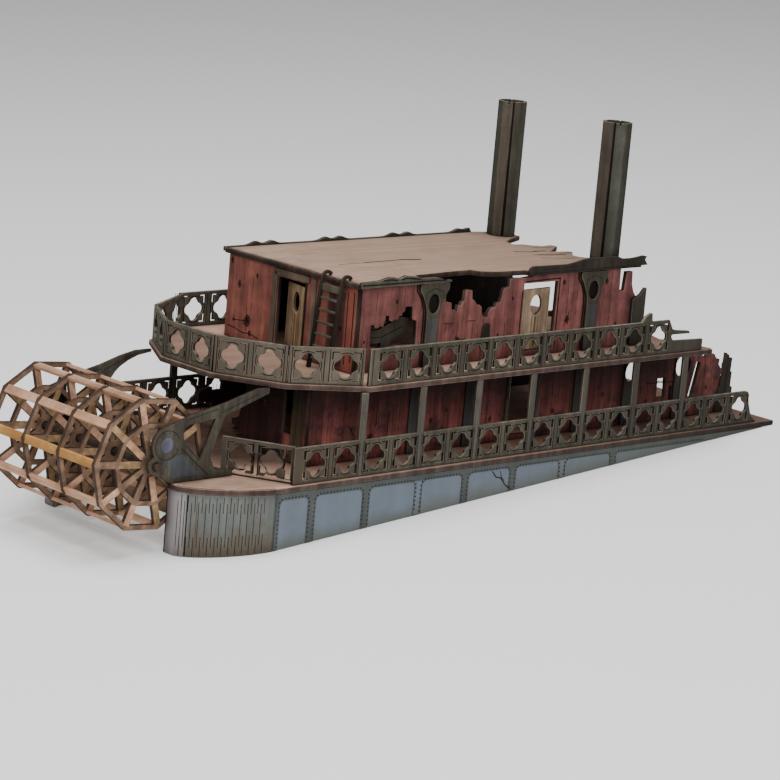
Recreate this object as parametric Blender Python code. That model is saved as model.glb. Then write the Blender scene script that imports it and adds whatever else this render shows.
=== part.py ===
"""Wrecked stern-wheel paddle steamer, a laser-cut board model for a gaming table.

Sizes are in millimetres in the boat's own frame (X to the bow, Y to port, Z up from the main deck's
top face) and are turned into metres when a piece is made. The whole boat hangs on one empty that
pitches it bow down, so that the slanted foot of the hull lies flat on the ground at Z = 0.
"""

import math

import bmesh
import bpy
from mathutils import Matrix

MM = 0.001

# Boards and clearances
BOARD = 3.0
TRIM = 2.0
GAP = 0.3

# Hull: the foot of the hull is a plane that rises towards the bow
HULL_DEPTH = 31.1
FOOT_SLOPE = 0.078
PITCH = math.atan(FOOT_SLOPE)
HULL_HALF = 87.0
DECK_BOW = 360.0
HULL_BOW = 350.0
WELL_FRONT = -62.0
WELL_HALF = 52.0
WRAP_INNER_Y = 50.4
STERN = -109.0
STERN_CORNER_Y = 58.0
STERN_CORNER_POWER = 1.5
DECK_LIP = 0.8

# Decks and cabins
UPPER_DECK_Z = 48.6
ROOF_Z = 101.5
CABIN_HALF = 57.0
LOWER_CABIN_AFT = -17.8
LOWER_CABIN_FORE = 335.5
UPPER_CABIN_AFT = 13.7
ROOF_HALF = 59.3
ROOF_AFT = 12.0
WALL_TOP_LOW = UPPER_DECK_Z - GAP
WALL_TOP_HIGH = ROOF_Z - GAP

# Railings: panels of two cells each
PANEL = 45.0
CELL = PANEL / 2
RAIL_HEIGHT = 21.0
RAIL_Y = 85.0
UPPER_RAIL_Y = 84.0
UPPER_RAIL_AFT = 6.8
PORT_RAIL_SHIFT = -7.3
POST_WIDTH = 5.0
MAIN_RAIL_AFT = -49.5
AFT_RAIL_X = -46.0
AFT_RAIL_Y = 84.0
AFT_RAIL_TURN = math.radians(60.0)
STERN_PANEL = 44.0
STERN_STEP = math.radians(30.0)
STERN_START_X = 1.0
STERN_START_Y = 82.1

# Chimneys
CHIMNEY_X = 229.0
CHIMNEY_Y = 45.6
CHIMNEY_HEIGHT = 86.0
CHIMNEY_ACROSS = 17.4
CHIMNEY_WALL = 1.6

# Paddle wheel
WHEEL_X = -121.5
WHEEL_Z = 10.9
WHEEL_SIDES = 10
WHEEL_RADIUS = 38.4
WHEEL_TURN = math.radians(-113.0)
WHEEL_HALF = 49.6
RING_BOARD = 2.5
RING_BAND = 4.0
SPOKE_WIDTH = 4.2
INNER_RING = 0.59
HUB_RADIUS = 6.5
LATH_WIDTH = 5.0
LATH_THICK = 2.0
AXLE_RADIUS = 2.0
AXLE_HOLE = AXLE_RADIUS + GAP

# Colours from the photograph
RED = (0.23, 0.055, 0.045)
GREEN_GREY = (0.085, 0.095, 0.075)
BLUE_GREY = (0.16, 0.19, 0.22)
TAN = (0.42, 0.28, 0.20)
RAW_BOARD = (0.30, 0.19, 0.12)
CREAM = (0.47, 0.36, 0.22)


def clear_scene():
    for old in list(bpy.data.objects):
        bpy.data.objects.remove(old, do_unlink=True)


def make_collection(name):
    group = bpy.data.collections.new(name)
    bpy.context.scene.collection.children.link(group)
    return group


clear_scene()
PARTS = make_collection("paddle_steamer")
CUTTERS = make_collection("cutters")


def foot_z(x):
    """Height of the hull's foot below the main deck at station x."""
    return FOOT_SLOPE * x - HULL_DEPTH


def make_empty(name, location, rotation=(0.0, 0.0, 0.0), parent=None):
    empty = bpy.data.objects.new(name, None)
    empty.location = [value * MM for value in location]
    empty.rotation_euler = rotation
    empty.parent = parent
    PARTS.objects.link(empty)
    return empty


# Half the length between the wheel's aftmost reach and the bow, so that the origin is mid-length
FRAME_X = -100.4
BOAT = make_empty("boat", (FRAME_X, 0.0, HULL_DEPTH * math.cos(PITCH)), (0.0, PITCH, 0.0))
WHEEL = make_empty("wheel_axis", (WHEEL_X, 0.0, WHEEL_Z), parent=BOAT)


def paint(obj, colour, roughness=0.75):
    material = bpy.data.materials.new(obj.name + "_finish")
    material.use_nodes = True
    shader = material.node_tree.nodes["Principled BSDF"]
    shader.inputs["Base Color"].default_value = (*colour, 1.0)
    shader.inputs["Roughness"].default_value = roughness
    shader.inputs["Metallic"].default_value = 0.0
    obj.data.materials.clear()
    obj.data.materials.append(material)


# A sheet's outline is drawn flat and the sheet is then stood up in one of these ways
FLAT = (0.0, 0.0, 0.0)
LENGTHWISE = (math.pi / 2, 0.0, 0.0)
CROSSWISE = (math.pi / 2, 0.0, math.pi / 2)


def sheet_curve(name, outline, holes, thickness):
    """A board: one closed outline with its holes, filled, thickness centred on its plane."""
    curve = bpy.data.curves.new(name, "CURVE")
    curve.dimensions = "2D"
    curve.fill_mode = "BOTH"
    curve.extrude = thickness * MM / 2
    for loop in [outline, *holes]:
        spline = curve.splines.new("POLY")
        spline.points.add(len(loop) - 1)
        for point, (a, b) in zip(spline.points, loop):
            point.co = (a * MM, b * MM, 0.0, 1.0)
        spline.use_cyclic_u = True
    return bpy.data.objects.new(name, curve)


def place(obj, location, rotation, parent):
    obj.location = [value * MM for value in location]
    obj.rotation_euler = rotation
    obj.parent = parent


def board(name, outline, colour, location, stance, thickness=BOARD, holes=(), parent=None):
    obj = sheet_curve(name, outline, holes, thickness)
    place(obj, location, stance, parent or BOAT)
    PARTS.objects.link(obj)
    paint(obj, colour)
    return obj


def curve_to_mesh(obj):
    """Swap a filled curve for its closed mesh, so that it can be cut or joined."""
    bpy.context.view_layer.update()
    graph = bpy.context.evaluated_depsgraph_get()
    mesh = bpy.data.meshes.new_from_object(obj.evaluated_get(graph))
    shape = bmesh.new()
    shape.from_mesh(mesh)
    bmesh.ops.remove_doubles(shape, verts=shape.verts, dist=0.00001)
    bmesh.ops.recalc_face_normals(shape, faces=shape.faces)
    shape.to_mesh(mesh)
    shape.free()
    solid = bpy.data.objects.new(obj.name, mesh)
    solid.matrix_world = obj.matrix_world
    PARTS.objects.link(solid)
    name = obj.name
    bpy.data.objects.remove(obj, do_unlink=True)
    solid.name = name
    return solid


def box_mesh(name, size, centre=(0.0, 0.0, 0.0)):
    mesh = bpy.data.meshes.new(name)
    shape = bmesh.new()
    bmesh.ops.create_cube(shape, size=1.0)
    bmesh.ops.scale(shape, verts=shape.verts, vec=[value * MM for value in size])
    bmesh.ops.translate(shape, verts=shape.verts, vec=[value * MM for value in centre])
    shape.to_mesh(mesh)
    shape.free()
    return mesh


def cylinder_along_y(radius, length, sides=20):
    mesh = bpy.data.meshes.new("round_bar")
    shape = bmesh.new()
    bmesh.ops.create_cone(shape, cap_ends=True, segments=sides, radius1=radius * MM, radius2=radius * MM,
                          depth=length * MM)
    bmesh.ops.rotate(shape, verts=shape.verts, matrix=Matrix.Rotation(math.pi / 2, 3, "X"))
    shape.to_mesh(mesh)
    shape.free()
    return mesh


def helper(name, mesh, location, rotation, parent):
    """A solid that only cuts or joins another one and isn't a piece itself."""
    obj = bpy.data.objects.new(name, mesh)
    place(obj, location, rotation, parent)
    obj.hide_render = True
    obj.display_type = "WIRE"
    CUTTERS.objects.link(obj)
    return obj


def combine(target, other, operation):
    step = target.modifiers.new(other.name, "BOOLEAN")
    step.operation = operation
    step.object = other
    step.solver = "EXACT"


def across(outline):
    """The same outline on the port side of a deck seen from above."""
    return [(a, -b) for a, b in reversed(outline)]


def rectangle(x0, z0, x1, z1):
    return [(x0, z0), (x1, z0), (x1, z1), (x0, z1)]


def oval(x, z, width, height, sides=12):
    step = 2 * math.pi / sides
    return [(x + width / 2 * math.cos(i * step), z + height / 2 * math.sin(i * step)) for i in range(sides)]


def corner_arc(centre_x, centre_y, radius_x, radius_y, steps=8):
    """The flattish curve from the stern face round to the side."""
    points = []
    for i in range(steps + 1):
        angle = i * (math.pi / 2) / steps
        aft = max(math.cos(angle), 0.0) ** (2 / STERN_CORNER_POWER)
        out = math.sin(angle) ** (2 / STERN_CORNER_POWER)
        points.append((centre_x - radius_x * aft, centre_y - radius_y * out))
    return points


def hull_corner(offset):
    """Outline of the rounded stern corner, moved outward by the offset."""
    return corner_arc(WELL_FRONT, -STERN_CORNER_Y, WELL_FRONT - STERN + offset,
                      HULL_HALF - STERN_CORNER_Y + offset)


def build_main_deck():
    half = HULL_HALF + DECK_LIP
    starboard = [(WELL_FRONT + GAP, -WELL_HALF), (STERN - DECK_LIP, -WELL_HALF)]
    starboard += hull_corner(DECK_LIP)
    starboard += [(DECK_BOW, -half)]
    board("main_deck", starboard + across(starboard), TAN, (0, 0, -BOARD / 2), FLAT)


def hull_board(name, x0, x1, y, colour=BLUE_GREY):
    """A board that stands lengthwise under the deck, its foot on the slant."""
    top = -BOARD - GAP
    outline = [(x0, foot_z(x0)), (x1, foot_z(x1)), (x1, top), (x0, top)]
    board(name, outline, colour, (0, y, 0), LENGTHWISE)


def bulkhead(name, x, y_half, colour=RAW_BOARD):
    foot = foot_z(x + BOARD / 2)
    board(name, rectangle(-y_half, foot, y_half, -BOARD - GAP), colour, (x, 0, 0), CROSSWISE)


def build_hull_sides():
    for name, side in (("starboard", -1), ("port", 1)):
        y = side * (HULL_HALF - BOARD / 2)
        hull_board("hull_side_" + name, WELL_FRONT + GAP, HULL_BOW, y)
        well_y = side * (WELL_HALF + BOARD / 2)
        hull_board("well_side_" + name, STERN + TRIM + GAP, WELL_FRONT - BOARD - GAP, well_y, RAW_BOARD)


def build_hull_wraps():
    """The slit board bent round each stern corner, cut along the foot of the hull."""
    reach = 400.0
    foot_box = box_mesh("ground_block", (reach, reach, reach), (0, 0, -reach / 2))
    ground = helper("ground_cutter", foot_box, (FRAME_X + STERN, 0, 0), FLAT, None)
    inner = hull_corner(-TRIM)
    outer = hull_corner(0.0)
    aft_inner = (STERN + TRIM, -WRAP_INNER_Y)
    aft_outer = (STERN, -WRAP_INNER_Y)
    starboard = [aft_outer, *outer, *reversed(inner), aft_inner]
    height = HULL_DEPTH - foot_z(STERN) - BOARD - GAP
    for name, outline in (("starboard", starboard), ("port", across(starboard))):
        wrap = board("hull_wrap_" + name, outline, BLUE_GREY, (0, 0, -BOARD - GAP - height / 2), FLAT, height)
        combine(curve_to_mesh(wrap), ground, "DIFFERENCE")


def build_bulkheads():
    inside = HULL_HALF - BOARD - GAP
    bulkhead("well_front", WELL_FRONT - BOARD / 2, inside)
    for name, x in (("aft", 20.0), ("middle", 130.0), ("fore", 240.0)):
        bulkhead("bulkhead_" + name, x, inside)


def build_lower_cabin():
    """The cabin under the upper deck, its aft wall and port wall torn open at the port quarter."""
    torn_half = [(-4.0, GAP), (-3.7, 7.1), (1.2, 10.0), (7.0, 11.5), (7.2, 14.5), (1.0, 17.0), (-0.6, 25.7),
                 (-3.7, 34.3), (-2.0, 41.0), (-6.0, WALL_TOP_LOW)]
    board("lower_wall_aft", [(-CABIN_HALF, GAP), *torn_half, (-CABIN_HALF, WALL_TOP_LOW)], RED,
          (LOWER_CABIN_AFT + BOARD / 2, 0, 0), CROSSWISE, holes=[rectangle(-45.5, 16.5, -37.0, 44.0)])
    x0 = LOWER_CABIN_AFT + BOARD + GAP
    bow_end = [(LOWER_CABIN_FORE, GAP), (336.8, 12.0), (338.7, 23.0), (341.0, 28.5), (339.0, 29.7),
               (336.5, 32.5), (337.0, 35.9), (333.5, 36.8), (331.3, 39.7), (326.0, 40.5), (321.5, 37.0),
               (318.0, 42.0), (312.0, 40.0), (306.0, 45.0), (297.0, WALL_TOP_LOW)]
    port_aft = [(14.0, WALL_TOP_LOW), (16.0, 38.0), (10.0, 32.0), (13.5, 24.0), (13.2, 18.8), (5.4, 18.8),
                (5.4, 21.0), (-1.4, 20.3), (-5.2, 18.1), (-4.9, 12.3), (5.3, 11.4), (5.3, 6.8), (14.1, 6.3),
                (14.1, 10.6), (28.5, 9.4), (31.5, 5.0), (33.0, GAP)]
    ovals = [oval(x, 34.0, 8.8, 11.0) for x in (252.3, 299.0)]
    slit = [(280.0, 16.0), (284.8, 16.0), (284.2, 27.0), (279.6, 27.0)]
    crack = [(311.0, 12.0), (313.0, 12.0), (317.5, 35.0), (316.0, 36.0)]
    door = rectangle(144.5, GAP + 3.0, 168.0, 42.0)
    post = [(336.6, GAP), (355.0, GAP), (353.8, 14.0), (351.3, 22.0), (348.8, 31.0), (349.6, 35.6),
            (346.3, 35.8), (345.4, 38.0), (343.0, 39.4), (343.4, 29.5), (339.8, 23.0), (337.9, 12.0)]
    for name, side, aft_end in (("starboard", -1, [(x0, WALL_TOP_LOW), (x0, GAP)]), ("port", 1, port_aft)):
        y = side * (CABIN_HALF - BOARD / 2)
        board("lower_wall_" + name, [*bow_end, *aft_end], RED, (0, y, 0), LENGTHWISE,
              holes=[door, slit, crack, *ovals])
        board("front_post_" + name, post, GREEN_GREY, (0, y, 0), LENGTHWISE)


def stern_corners(offset=0.0):
    """Corners of the stern balcony, from starboard round to port, moved outward by the offset."""
    x = STERN_START_X
    y = -STERN_START_Y
    corners = [(x, y)]
    for k in range(1, 6):
        heading = STERN_STEP * k
        x -= STERN_PANEL * math.cos(heading)
        y += STERN_PANEL * math.sin(heading)
        corners.append((x, y))
    moved = []
    for k, (cx, cy) in enumerate(corners):
        outward = STERN_STEP * (k + 0.5)
        moved.append((cx - offset * math.sin(outward), cy - offset * math.cos(outward)))
    return moved


def build_upper_deck():
    half = UPPER_RAIL_Y + 2.2
    stern = stern_corners(2.6)
    front = [(293.5, -half), (296.0, -82.5), (292.0, -71.0), (296.0, -62.0), (284.0, -50.0), (289.0, -38.0),
             (262.0, -22.0), (271.0, -8.0), (255.0, 6.0), (268.0, 24.0), (261.0, 40.0), (284.0, 55.0),
             (279.0, 68.0), (296.0, 79.0), (294.0, half)]
    outline = [(STERN_START_X + 2.0, -half), *front, (STERN_START_X + 2.0, half), *reversed(stern)]
    board("upper_deck", outline, TAN, (0, 0, UPPER_DECK_Z + BOARD / 2), FLAT)


def build_upper_cabin():
    floor = UPPER_DECK_Z + BOARD + GAP
    aft_door = rectangle(-13.0, floor + 3.0, 11.5, 96.0)
    board("upper_wall_aft", rectangle(-CABIN_HALF, floor, CABIN_HALF, WALL_TOP_HIGH), RED,
          (UPPER_CABIN_AFT + BOARD / 2, 0, 0), CROSSWISE, holes=[aft_door])
    x0 = UPPER_CABIN_AFT + BOARD + GAP
    torn_top = [(250.0, 82.0), (247.0, 85.4), (244.9, 90.6), (244.3, 98.7), (238.9, 98.7), (237.9, 87.2),
                (233.9, 86.8), (233.3, WALL_TOP_HIGH),
                (137.0, WALL_TOP_HIGH), (131.0, 96.0), (129.5, 87.0), (121.0, 83.0), (116.0, 78.5),
                (108.0, 89.0), (105.0, 95.0), (100.5, 94.5), (96.0, 88.0), (91.5, 84.0), (84.5, 88.5),
                (84.0, WALL_TOP_HIGH), (x0, WALL_TOP_HIGH)]
    starboard = [(x0, floor), (250.0, floor), *torn_top]
    hole = [(27.0, 66.0), (61.5, 63.0), (60.5, 81.0), (55.0, 79.5), (47.0, 86.0), (44.0, 80.0), (41.0, 79.0),
            (37.0, 83.0), (32.0, 77.0), (26.5, 78.0)]
    door = rectangle(149.0, floor + 3.0, 178.0, 96.5)
    pilaster_ovals = [oval(x, 89.5, 7.4, 10.0) for x in (73.0, 208.0)]
    y = CABIN_HALF - BOARD / 2
    board("upper_wall_starboard", starboard, RED, (0, -y, 0), LENGTHWISE, holes=[hole, door, *pilaster_ovals])
    port_top = [(250.0, 71.0), (243.0, 78.0), (238.0, 93.0), (226.0, 90.0), (214.0, WALL_TOP_HIGH),
                (x0, WALL_TOP_HIGH)]
    board("upper_wall_port", [(x0, floor), (250.0, floor), *port_top], RED, (0, y, 0), LENGTHWISE,
          holes=[rectangle(120.0, floor + 3.0, 144.0, 96.5)])


def pilaster_outline(x):
    """Keyhole-shaped post: a slim shaft that flares out in two hollow shoulders under the roof."""
    floor = UPPER_DECK_Z + BOARD + GAP
    shaft = 5.0
    flare = 11.5
    left = [(x - shaft, floor), (x - shaft, 82.0), (x - shaft - 1.2, 88.0), (x - shaft - 3.6, 94.0),
            (x - flare, 97.5), (x - flare, WALL_TOP_HIGH)]
    right = [(2 * x - a, b) for a, b in reversed(left)]
    return left[::-1] + right[::-1]


def build_pilasters():
    floor = UPPER_DECK_Z + BOARD + GAP
    y = CABIN_HALF + GAP + TRIM / 2
    broken = [(245.0, floor), (256.5, floor), (256.3, 88.0), (254.3, 88.0), (251.0, 84.2), (247.6, 82.6),
              (244.6, 81.5)]
    for name, side in (("starboard", -1), ("port", 1)):
        for label, x in (("aft", 73.0), ("middle", 208.0)):
            board("pilaster_%s_%s" % (label, name), pilaster_outline(x), GREEN_GREY, (0, side * y, 0),
                  LENGTHWISE, TRIM, holes=[oval(x, 89.5, 8.6, 12.0)])
        board("pilaster_fore_" + name, broken, GREEN_GREY, (0, side * y, 0), LENGTHWISE, TRIM)


def build_roof():
    y = ROOF_HALF
    near_edge = [(ROOF_AFT, -y), (62.0, -y), (67.0, -47.5), (84.0, -46.0), (101.0, -44.8), (115.0, -44.3),
                 (117.0, -49.5), (122.0, -52.5), (128.0, -54.5), (149.0, -56.0), (150.0, -y), (249.0, -y)]
    torn_front = [(247.0, -50.0), (241.0, -44.0), (240.5, -36.0), (226.0, -36.5), (221.8, -32.0),
                  (221.5, -26.0), (230.5, -17.5), (229.0, -14.5), (216.0, -12.0), (235.5, 1.0), (235.0, 6.3),
                  (226.0, 5.0), (221.0, 8.5), (217.0, 13.5), (210.5, 15.5), (213.0, 24.0), (224.0, 31.0),
                  (238.6, 37.5), (238.6, 53.0), (220.0, y)]
    outline = [*near_edge, *torn_front, (ROOF_AFT, y)]
    board("roof", outline, TAN, (0, 0, ROOF_Z + BOARD / 2), FLAT)


def wave_strip(x0, x1, humps, low, high, broken_end=0.0):
    """A trim strip with pairs of rounded humps on its top edge."""
    spread = 4.6
    count = 48
    top = []
    for i in range(count + 1):
        x = x0 + (x1 - x0) * i / count
        lift = sum(math.exp(-((x - hump) / spread) ** 2) for hump in humps)
        top.append((x, low + (high - low) * min(lift, 1.0)))
    top[-1] = (x1 + broken_end, low * 0.6 + broken_end * 0.3)
    return [(x0, 0.0), (x1, 0.0), *reversed(top)]


def build_cornices():
    foot = ROOF_Z + 0.8
    y = ROOF_HALF + GAP + TRIM / 2
    fore_strip = [(148.0, 0.0), (252.3, 1.0), (249.5, 4.4), (251.0, 6.4), (248.0, 7.0), (237.5, 5.8),
                  (228.5, 6.2), (224.0, 7.6), (202.0, 7.6), (195.5, 7.2), (188.5, 6.0), (181.0, 4.9),
                  (150.8, 5.2), (148.6, 4.2)]
    strips = (
        ("cornice_aft_starboard", -y, wave_strip(12.5, 83.6, (34.5, 48.0), 3.7, 5.4)),
        ("cornice_fore_starboard", -y, fore_strip),
        ("cornice_port", y, wave_strip(12.0, 217.0, (36.0, 48.5, 92.0, 104.0, 148.5, 160.5, 205.0, 214.5), 2.6, 4.7)),
    )
    for name, y_place, outline in strips:
        board(name, outline, GREEN_GREY, (0, y_place, foot), LENGTHWISE, TRIM)


def build_chimneys():
    radius = CHIMNEY_ACROSS / 2 / math.cos(math.pi / 8)
    ring = [(math.cos(math.pi / 8 + i * math.pi / 4), math.sin(math.pi / 8 + i * math.pi / 4)) for i in range(8)]
    outer = [(a * radius, b * radius) for a, b in ring]
    bore = radius - CHIMNEY_WALL / math.cos(math.pi / 8)
    inner = [(a * bore, b * bore) for a, b in ring]
    z = ROOF_Z + BOARD + GAP + CHIMNEY_HEIGHT / 2
    for name, side in (("starboard", -1), ("port", 1)):
        board("chimney_" + name, outer, GREEN_GREY, (CHIMNEY_X, side * CHIMNEY_Y, z), FLAT, CHIMNEY_HEIGHT,
              holes=[inner])


def barbed_hole(x, z, size):
    """The four-lobed opening of one railing cell, with a sharp nick between the lobes."""
    reach = size / 2
    points = []
    for quarter in range(4):
        turn = quarter * math.pi / 2
        for angle, length in ((-0.36, 0.94), (0.36, 0.94), (math.pi / 4, 0.78)):
            points.append((x + reach * length * math.cos(turn + angle), z + reach * length * math.sin(turn + angle)))
    return points


def cell_holes(x0, count, floor, size=14.5):
    return [barbed_hole(x0 + CELL * (i + 0.5), floor + RAIL_HEIGHT / 2, size) for i in range(count)]


def main_rail_outline():
    """Long railing: low rail with a full-height post at each panel joint, broken off at the bow."""
    floor = GAP
    rail_top = floor + RAIL_HEIGHT
    broken = [(344.5, floor), (343.0, 1.6), (339.0, 4.6), (335.8, 12.7), (334.2, 20.4), (332.2, rail_top)]
    outline = [(MAIN_RAIL_AFT, floor), *broken]
    half = POST_WIDTH / 2
    for i in range(6, -1, -1):
        x = i * PANEL
        outline += [(x + half, rail_top), (x + half, WALL_TOP_LOW), (x - half, WALL_TOP_LOW), (x - half, rail_top)]
    return outline + [(MAIN_RAIL_AFT, rail_top)]


def build_main_rails():
    """The long railing on each side and the short panel that turns in from its aft end."""
    floor = GAP
    top = floor + RAIL_HEIGHT
    holes = cell_holes(-PANEL, 17, floor)
    panel = rectangle(1.2, floor, 44.2, top)
    slot = rectangle(3.1, floor + 2.0, 7.4, top - 2.0)
    cells = [barbed_hole(along, floor + RAIL_HEIGHT / 2, 13.6) for along in (14.6, 33.2)]
    for name, side in (("starboard", -1), ("port", 1)):
        board("rail_main_" + name, main_rail_outline(), GREEN_GREY, (0, side * RAIL_Y, 0), LENGTHWISE, TRIM,
              holes=holes)
        turn = math.pi + side * AFT_RAIL_TURN
        board("rail_main_aft_" + name, panel, GREEN_GREY, (AFT_RAIL_X, side * AFT_RAIL_Y, 0),
              (math.pi / 2, 0.0, turn), TRIM, holes=[slot, *cells])


def build_upper_rails():
    """Railing of the upper deck, broken off forward of its eleventh cell; port starts further aft."""
    floor = UPPER_DECK_Z + BOARD + GAP
    top = floor + RAIL_HEIGHT
    end = UPPER_RAIL_AFT + 11 * CELL
    broken = [(284.5, floor), (284.5, 58.8), (end + 2.4, 59.6), (end + 0.4, 62.0), (end + 1.0, 63.4),
              (272.0, 63.2), (271.0, 64.8), (259.0, 66.0), (end + 1.0, 67.0), (end - 2.5, top),
              (235.9, top), (235.2, 78.2), (233.9, 78.4), (229.5, 76.6), (226.6, top)]
    for name, side, start, shift in (("starboard", -1, 2.3, 0.0), ("port", 1, -0.5, PORT_RAIL_SHIFT)):
        outline = [(start, floor), *[(x + shift, z) for x, z in broken], (start, top)]
        board("rail_upper_" + name, outline, GREEN_GREY, (0, side * UPPER_RAIL_Y, 0), LENGTHWISE, TRIM,
              holes=cell_holes(UPPER_RAIL_AFT + shift, 11, floor))


def build_stern_rails():
    """Five flat panels round the stern balcony, each turned 30 degrees from the last."""
    floor = UPPER_DECK_Z + BOARD + GAP
    corners = stern_corners()
    clear = 0.55 + GAP / 2
    half = STERN_PANEL / 2 - clear
    cell = CELL * STERN_PANEL / PANEL
    holes = [barbed_hole(side * cell / 2, RAIL_HEIGHT / 2, 14.2) for side in (-1, 1)]
    for k in range(5):
        ax, ay = corners[k]
        bx, by = corners[k + 1]
        heading = math.atan2(ay - by, ax - bx)
        middle = ((ax + bx) / 2, (ay + by) / 2, floor)
        board("rail_stern_%d" % (k + 1), rectangle(-half, 0.0, half, RAIL_HEIGHT), GREEN_GREY, middle,
              (math.pi / 2, 0.0, heading), TRIM, holes=holes)


def build_ladder():
    """Two hooked stiles with rungs between them, leaning on the aft wall and hooked on the roof."""
    width = 17.0
    middle_y = -40.5
    stile = 1.8
    foot_x = 3.5
    head_x = 9.2
    foot_z_place = UPPER_DECK_Z + BOARD + GAP
    head_z = ROOF_Z + BOARD - 1.0
    depth = 2.6
    hook_radius = 4.4
    hook_x = head_x + hook_radius - depth / 2
    bend = [(hook_x - hook_radius * math.cos(math.radians(a)), head_z + hook_radius * math.sin(math.radians(a)))
            for a in range(0, 151, 30)]
    back = [(hook_x - (hook_radius - 2.0) * math.cos(math.radians(a)),
             head_z + (hook_radius - 2.0) * math.sin(math.radians(a))) for a in range(150, -1, -30)]
    outline = [(foot_x - depth / 2, foot_z_place), *bend, *back, (foot_x + depth / 2, foot_z_place)]
    first = board("ladder", outline[::-1], GREEN_GREY, (0, middle_y - width / 2, 0), LENGTHWISE, stile)
    first = curve_to_mesh(first)
    second = board("ladder_stile", outline[::-1], GREEN_GREY, (0, middle_y + width / 2, 0), LENGTHWISE, stile)
    second = curve_to_mesh(second)
    PARTS.objects.unlink(second)
    CUTTERS.objects.link(second)
    second.hide_render = True
    second.display_type = "WIRE"
    combine(first, second, "UNION")
    rung_count = 7
    slope = (head_x - foot_x) / (head_z - foot_z_place)
    for i in range(rung_count):
        z = foot_z_place + 5.0 + i * 6.2
        x = foot_x + (z - foot_z_place) * slope
        rung = box_mesh("rung", (1.2, width, 1.6))
        combine(first, helper("ladder_rung_%d" % i, rung, (x, middle_y, z), FLAT, BOAT), "UNION")


def build_doors():
    """Three door leaves, each glued where it hangs ajar, with an oval light."""
    floor = UPPER_DECK_Z + BOARD + GAP
    leaf = rectangle(0.5, 3.6, 22.6, 41.2)
    light = [oval(11.5, 31.0, 8.0, 12.0)]
    leaf_thick = 2.0
    swing = math.radians(14.0)
    board("door_upper_aft", leaf, CREAM, (UPPER_CABIN_AFT + 2.0, -12.6, floor),
          (math.pi / 2, 0.0, math.pi / 2 - swing), leaf_thick, holes=light)
    wide_leaf = rectangle(0.6, 3.6, 25.0, 40.5)
    board("door_upper_starboard", wide_leaf, CREAM, (149.2, -CABIN_HALF + 1.5, floor),
          (math.pi / 2, 0.0, math.radians(4.0)), leaf_thick, holes=[oval(12.8, 30.5, 10.5, 12.5)])
    board("door_lower_starboard", leaf, CREAM, (146.3, -CABIN_HALF + 2.2, GAP),
          (math.pi / 2, 0.0, math.radians(56.0)), leaf_thick, holes=light)


def build_fallen_boards():
    """Two broken boards that lean across the hole in the starboard wall, glued into one piece."""
    floor = UPPER_DECK_Z + BOARD + GAP
    outline = [(24.0, 66.0), (25.0, 74.0), (42.0, 73.5), (58.0, 80.5), (66.0, 79.0), (62.0, 70.5), (52.0, 67.0),
               (50.5, floor), (44.0, floor), (44.5, 66.0)]
    board("fallen_boards", outline[::-1], GREEN_GREY, (0, -46.0, 0), LENGTHWISE)


def build_brackets():
    """The flat frames that stand on each side of the wheel well and carry the axle."""
    boss_x = -114.3
    boss_z = 22.1
    boss_r = 10.2
    nose = [(boss_x + boss_r * math.cos(math.radians(a)), boss_z + boss_r * math.sin(math.radians(a)))
            for a in range(95, 216, 20)]
    lug = [(WHEEL_X - 4.6, WHEEL_Z + 3.0), (WHEEL_X - 5.0, WHEEL_Z), (WHEEL_X - 3.6, WHEEL_Z - 3.6),
           (WHEEL_X, WHEEL_Z - 5.2)]
    outline = [(-67.0, GAP), (-67.0, 4.0), (-79.5, 4.8), (-83.5, 12.5), (-75.0, 35.0), (-44.0, 45.0),
               (-44.0, WALL_TOP_LOW), (-52.0, WALL_TOP_LOW), (-76.0, 42.0), (-97.0, 38.0), (-108.0, 34.5),
               *nose, *lug, (-110.0, GAP)]
    window = [(-81.5, 34.0), (-104.0, 31.5), (-103.0, 24.0), (-90.5, 12.0)]
    y = WELL_HALF + 0.5 + TRIM / 2
    for name, side in (("starboard", -1), ("port", 1)):
        board("bracket_" + name, outline[::-1], BLUE_GREY, (0, side * y, 0), LENGTHWISE, TRIM,
              holes=[window, oval(WHEEL_X, WHEEL_Z, 2 * AXLE_HOLE, 2 * AXLE_HOLE, 20)])


def polar(radius, angle):
    return (radius * math.cos(angle), radius * math.sin(angle))


def ring_holes():
    """Openings of one wheel ring: a wedge at the hub and a bay under the rim in each sector."""
    holes = []
    half_sector = math.pi / WHEEL_SIDES
    flat = math.cos(half_sector)
    inner_radius = WHEEL_RADIUS * INNER_RING
    for i in range(WHEEL_SIDES):
        middle = WHEEL_TURN + (2 * i + 1) * half_sector
        bays = ((HUB_RADIUS, inner_radius * flat - RING_BAND / 2), (inner_radius * flat + RING_BAND / 2,
                WHEEL_RADIUS * flat - RING_BAND))
        for low, high in bays:
            loop = []
            for distance, side in ((low, -1), (high, -1), (high, 1), (low, 1)):
                half_width = max(distance * math.tan(half_sector) - SPOKE_WIDTH / 2 / flat, 0.25)
                loop.append((distance * math.cos(middle) - side * half_width * math.sin(middle),
                             distance * math.sin(middle) + side * half_width * math.cos(middle)))
            holes.append(loop)
    return holes


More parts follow.
